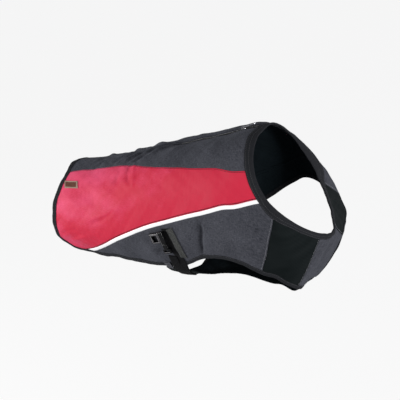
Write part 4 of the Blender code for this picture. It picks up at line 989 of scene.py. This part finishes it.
def folded_tape(outside, cloth_half, fold=0.10, seams=(0.86,)):
    """Profile of a tape folded round an edge: part of its width from the fold, and lift."""
    outer = [(0.0, 0.35 * outside), (0.35 * fold, 0.75 * outside), (fold, 0.95 * outside), (2 * fold, outside)]
    last = 2 * fold
    for seam in seams:
        outer += [((last + seam) / 2, outside + 0.05), (seam - 0.05, outside), (seam, outside - 0.3),
                  (seam + 0.05, outside)]
        last = seam + 0.05
    outer += [((last + 1) / 2, outside), (1.0, outside - 0.15), (1.012, (outside + cloth_half) / 2),
              (1.0, cloth_half)]
    inner = [(0.5, cloth_half), (1.2 * fold, 0.8 * cloth_half), (0.8 * fold, 0.0)]
    upper = outer + inner[:-1]
    return upper + [inner[-1]] + [(x, -z) for x, z in reversed(upper)]


def over_the_rump(paths):
    """One curve from the near strap over the spine to the far strap."""
    def place(t):
        t = np.asarray(t, float)
        reach = abs(2 * t - 1)
        near_part, far_part = (paths[side](at_strap[side] * reach) for side in (NEAR, FAR))
        return np.where((t < 0.5)[..., None], near_part, far_part)
    return place


def beyond(edge, foot, part):
    """A line over the tape: at part 0 its edge, at part 1 its foot."""
    return lambda t: edge(t) * (1 - part) + foot(t) * part


def neck_round(foot):
    """A line round the neck from the chest line over the near side, the spine and the far side."""
    def place(t):
        t = np.asarray(t, float)
        reach = abs(2 * t - 1)
        rows = {side: neck_seam(side)(reach) for side in (NEAR, FAR)}
        places = np.where((t < 0.5)[..., None], rows[NEAR], rows[FAR])
        return places * (foot, 1) + (NECK_EDGE * (1 - foot), 0)
    return place


NECK_STITCHES, EDGE_STITCHES, RUMP_TAPE_WIDTH = (0.50, 0.88), 0.86, 1.2
neck_tape = strip_piece("neck_binding_tape", neck_round(0.0), neck_round(1.0), 360,
                        folded_tape(1.75, 0.85, 0.07, NECK_STITCHES), black_binding, closed=True)
rump_edge = over_the_rump(free_edge)
rump_foot = beyond(rump_edge, over_the_rump(hem_seam), RUMP_TAPE_WIDTH)
rump_tape = strip_piece("rump_binding_tape", rump_edge, rump_foot, 420, folded_tape(1.9, 0.85), black_binding)
binding_pieces = {"neck_binding": neck_tape, "rump_binding": rump_tape}
for side in (NEAR, FAR):
    binding_pieces["leg_binding_" + SIDE_NAME[side]] = strip_piece(
        "leg_binding_tape_" + SIDE_NAME[side], part_of(free_edge[side], at_strap[side], 1),
        part_of(hem_seam[side], at_strap[side], 1), 200, folded_tape(1.7, 0.85), black_binding)
for node, tape in binding_pieces.items():
    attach(tape, "coat")
    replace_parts(tape, node)

black_thread = thread_material("black_thread", (0.030, 0.031, 0.034), (0.085, 0.087, 0.093))
for number, part in enumerate(NECK_STITCHES, 1):
    stitches("neck_binding_stitches_%d" % number, neck_round(part), 1.55, black_thread)
edge_rows = {"rump": (rump_edge, rump_foot)}
for side in (NEAR, FAR):
    edge_rows["leg_" + SIDE_NAME[side]] = [part_of(path[side], at_strap[side], 1) for path in (free_edge, hem_seam)]
for name, (edge, foot) in edge_rows.items():
    stitches(name + "_binding_stitches", beyond(edge, foot, EDGE_STITCHES), 1.6, black_thread)

# ==== Side label ===================================================================
# A small woven label with a raised tan border and a plain dark ground, sewn on the
# near side panel beside the rump binding.
LABEL_TOP, LABEL_FOOT = [(64, -0.222), (96, -0.222)], [(68, -0.276), (101, -0.274)]
LABEL_BORDER, BORDER_BLUR = 0.0024, 0.0003
label_top, label_foot = joined(*LABEL_TOP), joined(*LABEL_FOOT)
label_long, label_high = length_of(label_top) * MM, length_of(joined(LABEL_TOP[0], LABEL_FOOT[0])) * MM
label_face = [(0.0, 1.45), (0.01, 1.75), (0.03, 1.95)] + [(x / 40, 1.95) for x in range(3, 38, 2)] + [
    (0.97, 1.95), (0.99, 1.75), (1.0, 1.45), (0.97, 1.05), (0.5, 1.05), (0.03, 1.05)]
label_finish = Finish("woven_label", roughness=0.7, sheen_weight=0.05, specular_IOR_level=0.1)
flat, along, across = label_finish.flat_layout()
rise = across - 0.0005
to_border = along.lesser(label_long - along).lesser(rise.lesser(label_high - rise))
in_border = label_finish.node("MapRange", {"interpolation_type": "SMOOTHSTEP"},
                              {0: to_border, 1: LABEL_BORDER - BORDER_BLUR, 2: LABEL_BORDER + BORDER_BLUR,
                               3: 1.0, 4: 0.0})
satin_rows = woven(label_finish, along, across, 0.00045)
ground = label_finish.ramp(label_finish.spots(along, across, (0.003, 0.0008)), (0.3, (0.085, 0.035, 0.022)),
                           (0.7, (0.16, 0.060, 0.036)))
border = label_finish.ramp(satin_rows, (0.0, (0.23, 0.15, 0.11)), (0.7, (0.44, 0.32, 0.25)))
label_finish.feed("Base Color", label_finish.mixed(in_border, ground, border))
label_finish.feed("Normal", label_finish.bump(in_border * 0.6 + satin_rows * 0.4, 0.5, 0.0004))
label = strip_piece("side_label_patch", label_top, label_foot, 60, label_face, label_finish.material)
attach(label, "coat")
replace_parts(label, "side_label")
label_thread = thread_material("label_thread", (0.20, 0.13, 0.09), (0.40, 0.29, 0.21))
label_run = joined(LABEL_TOP[0], LABEL_TOP[1], LABEL_FOOT[1], LABEL_FOOT[0], LABEL_TOP[0])
label_middle = np.mean([LABEL_TOP, LABEL_FOOT], axis=(0, 1))
stitches("side_label_stitches", lambda t: (label_run(t) - label_middle) * 0.93 + label_middle, 1.95,
                 label_thread, pitch=2.2, length=1.8, thick=0.4)

# ==== Girth strap and tapes ========================================================
# One black webbing strap under the belly, buckled on both sides; grey ribbed tape
# holds each buckle, and a folded grey end lies behind each.
BUCKLE_TOP, BUCKLE_FOOT = (297, 0.521), (303, 0.645)
TAPE_LINE = [(314, 0.512), (318, 0.548), (323, 0.600), (325, 0.640), (325, 0.668)]
STRAP_LINE = [(303, 0.662), (302, 0.700), (298, 0.750), (294, 0.800), (291, 0.870), (290, 0.950), (290, 1.0)]
FOLD_LINE = [(283, 0.712), (282, 0.765)]
STRAP_END = [(306, 0.512), (307, 0.550), (311, 0.600), (315, 0.650), (316, 0.700), (312, 0.750), (305, 0.800),
             (299, 0.850), (295, 0.900)]
STRAP_HALF, TAPE_HALF, FOLD_HALF, END_HALF = 9, 7, 6, 8.5
CLIMB, CLIMB_AT, CLIMB_RATE = 1.6, 0.52, 40


def woven_band(name, dark, light, rib, roughness=0.7):
    band = Finish(name, roughness=roughness, specular_IOR_level=0.08)
    flat, along, across = band.flat_layout()
    herring = (along + abs(across.wave(rib * 4)) * (rib * 0.8)).wave(rib)
    wear_and_painted_highlight = band.spots(along, across, (0.002, 0.002))
    band.feed("Base Color", band.ramp(herring * 0.2 + wear_and_painted_highlight * 0.7 + 0.15, (0.25, dark), (0.8, light)))
    band.feed("Normal", band.bump(herring, 0.5, 0.0004, band.bump(wear_and_painted_highlight, 0.2, 0.0003)))
    return band.material


black_webbing = woven_band("black_webbing", (0.0025, 0.0025, 0.0030), (0.012, 0.012, 0.013), 0.0016)
grey_webbing = woven_band("grey_webbing", (0.026, 0.027, 0.026), (0.115, 0.117, 0.112), 0.0014)
fold_webbing = woven_band("fold_webbing", (0.040, 0.040, 0.048), (0.16, 0.16, 0.18), 0.0016, 0.55)


def band_piece(name, line, half_width, samples, profile, finish, lift_along=None):
    """A woven band of even width along a line over the cloth."""
    return strip_piece(name, moved_in(line, half_width, 1), moved_in(line, half_width, -1), samples, profile,
                       finish, lift_along=lift_along)


def climb(t):
    """How the strap end rises from the cloth on to the girth strap, mm."""
    return CLIMB / (1 + np.exp((CLIMB_AT - t) * CLIMB_RATE))


def flat_band(wall, lift, ribs=0, rib_depth=0.0):
    """Profile of a woven band with rounded edges, ribbed lengthwise on its face."""
    half = wall / 2
    face = [(0.0, lift), (0.015, lift + 0.7 * half), (0.05, lift + half)]
    for k in range(1, 2 * ribs):
        face.append((0.05 + 0.9 * k / (2 * ribs), lift + half + (rib_depth if k % 2 else -rib_depth)))
    if not ribs:
        face += [(0.3, lift + half), (0.5, lift + half), (0.7, lift + half)]
    face += [(0.95, lift + half), (0.985, lift + 0.7 * half), (1.0, lift)]
    back_face = [(0.95, lift - half), (0.5, lift - half), (0.05, lift - half)]
    return face + back_face


strap_middle = both_halves(curve(STRAP_LINE, NEAR), backwards(curve(STRAP_LINE, FAR)))
girth_strap = band_piece("girth_strap_webbing", strap_middle, STRAP_HALF, 160, flat_band(1.8, 2.65),
                         black_webbing)
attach(girth_strap, "coat")
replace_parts(girth_strap, "girth_strap")
for side in (NEAR, FAR):
    tape_line = curve(TAPE_LINE, side)
    tape = band_piece("ribbed_tape_band_" + SIDE_NAME[side], tape_line, TAPE_HALF, 40,
                      flat_band(1.4, 1.9, ribs=6, rib_depth=0.22), grey_webbing)
    fold_line = joined(*[(along, side * share) for along, share in FOLD_LINE])
    fold = band_piece("strap_fold_end_" + SIDE_NAME[side], fold_line, FOLD_HALF, 20,
                      flat_band(3.0, 3.25), fold_webbing)
    end = band_piece("girth_strap_end_" + SIDE_NAME[side], curve(STRAP_END, side), END_HALF, 90,
                     flat_band(0.9, 1.45), black_webbing, lift_along=climb)
    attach(end, "coat")
    "flank_panel_cloth_" + SIDE_NAME[side]
    "flank_panel_cloth_" + SIDE_NAME[side]
    for piece, node, slot in ((tape, "ribbed_tape_", "grey_webbing"), (fold, "strap_fold_", "grey_webbing")):
        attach(piece, "coat")
        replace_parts(piece, node + SIDE_NAME[side])

# The ribbed tape is sewn down twice along its front edge and once behind.
for side in (NEAR, FAR):
    tape_line = curve(TAPE_LINE, side)
    for number, inset in enumerate((-5.8, -4.2, 5.8), 1):
        stitches("ribbed_tape_stitches_%s_%d" % (SIDE_NAME[side], number),
                         moved_in(tape_line, abs(inset), side if inset < 0 else -side), 2.6, black_thread,
                         pitch=2.8, length=2.2)

# ==== Buckles ======================================================================
# Black moulded side-release buckles at the ends of the girth strap: a socket with a
# square loop beside it, and the plug that snaps into it. Both stay fastened. Pale rims
# and rails on them are painted highlights along their moulded edges.
black_plastic = Finish("black_plastic", specular_IOR_level=0.28)
grained, scuffed = black_plastic.grain(2600.0, 2.0), black_plastic.grain(160.0, 5.0)
black_plastic.feed("Base Color", black_plastic.ramp(scuffed, (0.35, (0.0015, 0.0015, 0.0017)),
                                                    (0.8, (0.007, 0.007, 0.008))))
black_plastic.feed("Roughness", scuffed * 0.2 + 0.14)
black_plastic.feed("Normal", black_plastic.bump(grained, 0.15, 0.0001))
# Pale grey plastic for the buckles' rims and rails: a painted highlight on the black buckles.
painted_highlight_plastic = Finish("buckle_painted_highlight_rim", specular_IOR_level=0.8)
wear_and_painted_highlight = painted_highlight_plastic.grain(500.0, 4.0)
painted_highlight_plastic.feed("Base Color", painted_highlight_plastic.ramp(wear_and_painted_highlight, (0.35, (0.05, 0.048, 0.053)), (0.7, (0.17, 0.16, 0.175))))
painted_highlight_plastic.feed("Roughness", wear_and_painted_highlight * 0.2 + 0.42)


def alone(piece):
    bpy.ops.object.select_all(action="DESELECT")
    piece.select_set(True)
    bpy.context.view_layer.objects.active = piece


def frame_at(origin, ahead):
    """Frame on the form: x towards the second place, z out of the cloth, millimetres."""
    start, end = form_points(*origin), form_points(*ahead)
    out = outward(*(np.add(origin, ahead) / 2))
    x_axis = (end - start) / np.linalg.norm(end - start)
    y_axis = np.cross(out, x_axis)
    y_axis /= np.linalg.norm(y_axis)
    return Matrix([(*row, place * MM) for row, place in
                   zip(np.stack([x_axis, y_axis, np.cross(x_axis, y_axis)], 1), start)] + [(0, 0, 0, 1)])


def moulded(name, node, round_by):
    """The CAD node's own shape with its edges rounded as moulded."""
    piece = bpy.data.objects.new(name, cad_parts[node].data.copy())
    bpy.context.scene.collection.objects.link(piece)
    piece.data.materials.clear()
    piece.data.materials.append(black_plastic.material)
    alone(piece)
    bpy.ops.object.mode_set(mode="EDIT")
    bpy.ops.mesh.select_all(action="SELECT")
    bpy.ops.mesh.remove_doubles(threshold=0.00002)
    bpy.ops.mesh.dissolve_limited(angle_limit=radians(2))
    bpy.ops.object.mode_set(mode="OBJECT")
    rounding = piece.modifiers.new("rounding", "BEVEL")
    rounding.width, rounding.segments, rounding.limit_method = round_by * MM, 3, "ANGLE"
    rounding.angle_limit = radians(25)
    bpy.ops.object.modifier_apply(modifier="rounding")
    bpy.ops.object.shade_smooth_by_angle(angle=radians(35))
    return piece


def lip(name, place, x_0, x_1, y_0, y_1, foot, rise, wide):
    """A raised rim round a window, or a plain rail where wide is 0, pale as a painted highlight."""
    bpy.ops.object.select_all(action="DESELECT")
    bpy.ops.mesh.primitive_plane_add(size=MM, location=(0, 0, 0))
    piece = bpy.context.object
    piece.name = piece.data.name = name
    for corner in piece.data.vertices:
        corner.co = ((x_0 if corner.co.x < 0 else x_1) * MM, (y_0 if corner.co.y < 0 else y_1) * MM, foot * MM)
    bpy.ops.object.mode_set(mode="EDIT")
    bpy.ops.mesh.select_all(action="SELECT")
    if wide:
        bpy.ops.mesh.inset(thickness=wide * MM)
        bpy.ops.mesh.delete(type="FACE")
        bpy.ops.mesh.select_all(action="SELECT")
    bpy.ops.mesh.extrude_region_move(TRANSFORM_OT_translate={"value": (0, 0, rise * MM)})
    bpy.ops.mesh.select_all(action="SELECT")
    bpy.ops.mesh.normals_make_consistent(inside=False)
    bpy.ops.object.mode_set(mode="OBJECT")
    rounding = piece.modifiers.new("rounding", "BEVEL")
    rounding.width, rounding.segments, rounding.limit_method = 0.28 * MM, 2, "ANGLE"
    bpy.ops.object.modifier_apply(modifier="rounding")
    bpy.ops.object.shade_smooth_by_angle(angle=radians(50))
    piece.data.transform(place)
    piece.data.materials.append(painted_highlight_plastic.material)
    return piece


SOCKET_LONG, SOCKET_HALF, LOOP_WINDOW = 25.0, 5.5, (5.0, 18.0, 8.0, 21.0)
RIM_OUTSIDE, RIM_SUNK = 1.9, 0.3
RAIL_ENDS, RAIL_WIDE, PLUG_RAIL_AT, PLUG_RAIL_HALF = 1.5, 0.9, 15.2, 6.5
for side in (NEAR, FAR):
    label_side = SIDE_NAME[side]
    place = frame_at((BUCKLE_TOP[0], side * BUCKLE_TOP[1]), (BUCKLE_FOOT[0], side * BUCKLE_FOOT[1]))
    socket = moulded("buckle_socket_body_" + label_side, "buckle_socket_" + label_side, 0.45)
    plug = moulded("buckle_plug_body_" + label_side, "buckle_plug_" + label_side, 0.40)
    back_to_flat = place.inverted()
    crest = {part: max((back_to_flat @ corner.co).z for corner in part.data.vertices) / MM
             for part in (socket, plug)}
    x_0, x_1, y_0, y_1 = LOOP_WINDOW
    y_0, y_1 = sorted((side * y_0, side * y_1))
    x_rail, y_rail = SOCKET_LONG + PLUG_RAIL_AT, side * (SOCKET_HALF - 1.2)
    # The pale rims and rails stand where the moulded edges catch the light: painted highlights.
    rims = [lip("buckle_loop_rim_" + label_side, place, x_0 - RIM_OUTSIDE, x_1 + RIM_OUTSIDE,
                y_0 - RIM_OUTSIDE, y_1 + RIM_OUTSIDE, crest[socket] - RIM_SUNK, 0.9, 1.6),
            lip("buckle_rail_" + label_side, place, RAIL_ENDS, SOCKET_LONG - RAIL_ENDS,
                *sorted((y_rail, y_rail - side * RAIL_WIDE)), crest[socket] - RIM_SUNK, 0.7, 0),
            lip("buckle_plug_rail_" + label_side, place, x_rail, x_rail + 1.0, -PLUG_RAIL_HALF, PLUG_RAIL_HALF,
                crest[plug] - RIM_SUNK, 0.8, 0)]
    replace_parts(socket, "buckle_socket_" + label_side)
    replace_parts(plug, "buckle_plug_" + label_side)
    for piece in (socket, plug, *rims):
        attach(piece, "coat")

# ==== Back zip =====================================================================
# The opening for the leash: black woven tapes behind the slit, two rows of moulded
# teeth, and a metal slider with its pull tab near the neck.
TAPE_FROM, CORE_FROM, SEWN_FROM, ZIP_FROM, SLIDER_AT, ZIP_TO = 284, 286, 292, 312, 445, 472
TAPE_INSIDE, TAPE_OUTSIDE, SEWN_AT, CORE_HALF = 0.6, 11.2, 6.0, 1.9
SLIDER_HALF, TEETH_LIFT = 6, 0.7


def beside_spine(start, end, offset):
    return lambda t: np.stack([start + (end - start) * np.asarray(t, float),
                               np.full(np.shape(t), offset / MEAN_HALF_GIRTH)], -1)


zip_tape = woven_band("zip_tape", (0.004, 0.004, 0.005), (0.016, 0.016, 0.018), 0.0012, 0.8)
for side in (NEAR, FAR):
    tape = strip_piece("zip_tape_woven_" + SIDE_NAME[side], beside_spine(TAPE_FROM, ZIP_TO, side * TAPE_INSIDE),
                       beside_spine(TAPE_FROM, ZIP_TO, side * TAPE_OUTSIDE), 90, flat_band(1.0, -2.5), zip_tape)
    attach(tape, "coat")
    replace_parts(tape, "zip_tape_" + SIDE_NAME[side])
    stitches("zip_slit_stitches_" + SIDE_NAME[side], beside_spine(SEWN_FROM, ZIP_TO, side * SEWN_AT),
                     CLOTH_WALL / 2, zip_tape, pitch=3.0, thick=0.8)

tooth_finish = Finish("zip_teeth", specular_IOR_level=0.6)
polished = tooth_finish.grain(700.0, 3.0)
tooth_finish.feed("Base Color", tooth_finish.ramp(polished, (0.3, (0.006, 0.006, 0.007)),
                                                  (0.7, (0.030, 0.030, 0.032))))
tooth_finish.feed("Roughness", polished * 0.3 + 0.2)
bpy.ops.object.select_all(action="DESELECT")
bpy.ops.mesh.primitive_cube_add(size=1)
tooth = bpy.context.object
bpy.ops.object.mode_set(mode="EDIT")
bpy.ops.mesh.select_all(action="SELECT")
bpy.ops.transform.resize(value=(0.95, 2.5, 1.9))
bpy.ops.mesh.bevel(offset=0.28, segments=2, affect="EDGES")
bpy.ops.object.mode_set(mode="OBJECT")
tooth_corners = np.array([corner.co[:] for corner in tooth.data.vertices])
tooth_faces = [list(face.vertices) for face in tooth.data.polygons]
bpy.data.objects.remove(tooth)


def teeth(name, start, end, offset, pitch, one_sided):
    """Rows of teeth along the spine; the offset alternates unless they are on one side only."""
    points, faces = [], []
    for number, at in enumerate(np.arange(start, end, pitch)):
        beside = offset if one_sided or number % 2 else -offset
        centre = cloth_points(at, beside / MEAN_HALF_GIRTH, TEETH_LIFT)
        ahead = cloth_points(at + 2, beside / MEAN_HALF_GIRTH, TEETH_LIFT) - centre
        ahead /= np.linalg.norm(ahead)
        out = outward(at, 0.0)
        over = np.cross(out, ahead)
        axes = np.stack([ahead, over, np.cross(ahead, over)], 1)
        faces += [[corner + len(points) * len(tooth_corners) for corner in face] for face in tooth_faces]
        points.append(centre + tooth_corners @ axes.T)
    points = np.concatenate(points)
    row = add_piece(name, points, faces, points[:, :2] * MM, [tooth_finish.material])
    alone(row)
    bpy.ops.object.shade_smooth_by_angle(angle=radians(40))
    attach(row, "coat")
    return row


chain = teeth("zip_teeth_closed", ZIP_FROM, SLIDER_AT - SLIDER_HALF, 0.75, 0.82, one_sided=False)
core = strip_piece("zip_core", beside_spine(CORE_FROM, SLIDER_AT - SLIDER_HALF, -CORE_HALF),
                   beside_spine(CORE_FROM, SLIDER_AT - SLIDER_HALF, CORE_HALF), 60, flat_band(1.0, -0.9), zip_tape)
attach(core, "coat")
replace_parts(chain, "zip_chain")
for side in (NEAR, FAR):
    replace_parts(teeth("zip_teeth_open_" + SIDE_NAME[side], SLIDER_AT + SLIDER_HALF, ZIP_TO - 0.5, side * 1.7,
                      1.64, one_sided=True),
                "zip_end_" + SIDE_NAME[side])

zip_metal = Finish("zip_metal", metallic=1.0, specular_IOR_level=0.5)
brushed_metal = zip_metal.grain(900.0, 4.0)
zip_metal.feed("Base Color", zip_metal.ramp(brushed_metal, (0.3, (0.32, 0.32, 0.34)), (0.7, (0.60, 0.60, 0.62))))
zip_metal.feed("Roughness", brushed_metal * 0.2 + 0.16)
zip_metal.feed("Normal", zip_metal.bump(brushed_metal, 0.1, 0.0001))
for node in ("zip_slider", "zip_pull_tab"):
    for finish_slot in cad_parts[node].material_slots:
        finish_slot.link = "OBJECT"
        finish_slot.material = zip_metal.material

# ==== Floor, backdrop and light ====================================================
# A white studio floor far below the coat, which is lit by a pale sky and by two soft
# lamps, one on the left and one ahead. The floor itself casts no light on the cloth.
sweep_finish = Finish("studio_white", roughness=1.0, specular_IOR_level=0.0, base_color=(0.1, 0.1, 0.1, 1),
                      emission_color=(1, 1, 1, 1), emission_strength=0.88)
bpy.ops.mesh.primitive_plane_add(size=120, location=(0, 0, -1.1))
floor = bpy.context.object
floor.name = "studio_floor"
floor.data.materials.append(sweep_finish.material)
floor.visible_diffuse = floor.visible_glossy = False

world = bpy.data.worlds.new("studio")
world.use_nodes = True
world.node_tree.nodes["Background"].inputs["Color"].default_value = (0.96, 0.97, 1.0, 1)
world.node_tree.nodes["Background"].inputs["Strength"].default_value = 0.34
bpy.context.scene.world = world


def soft_light(name, place, size, power):
    lamp = bpy.data.lights.new(name, "AREA")
    lamp.shape, lamp.size, lamp.energy = "SQUARE", size, power
    light = bpy.data.objects.new(name, lamp)
    light.location = place
    light.rotation_euler = (Vector((-0.15, 0, -0.15)) - Vector(place)).to_track_quat("-Z", "Y").to_euler()
    bpy.context.scene.collection.objects.link(light)


soft_light("key_light", (-2.6, -1.3, 0.05), 0.7, 68)
soft_light("front_light", (2.2, -0.9, 0.05), 0.7, 48)

bpy.context.scene.view_settings.view_transform = "Standard"
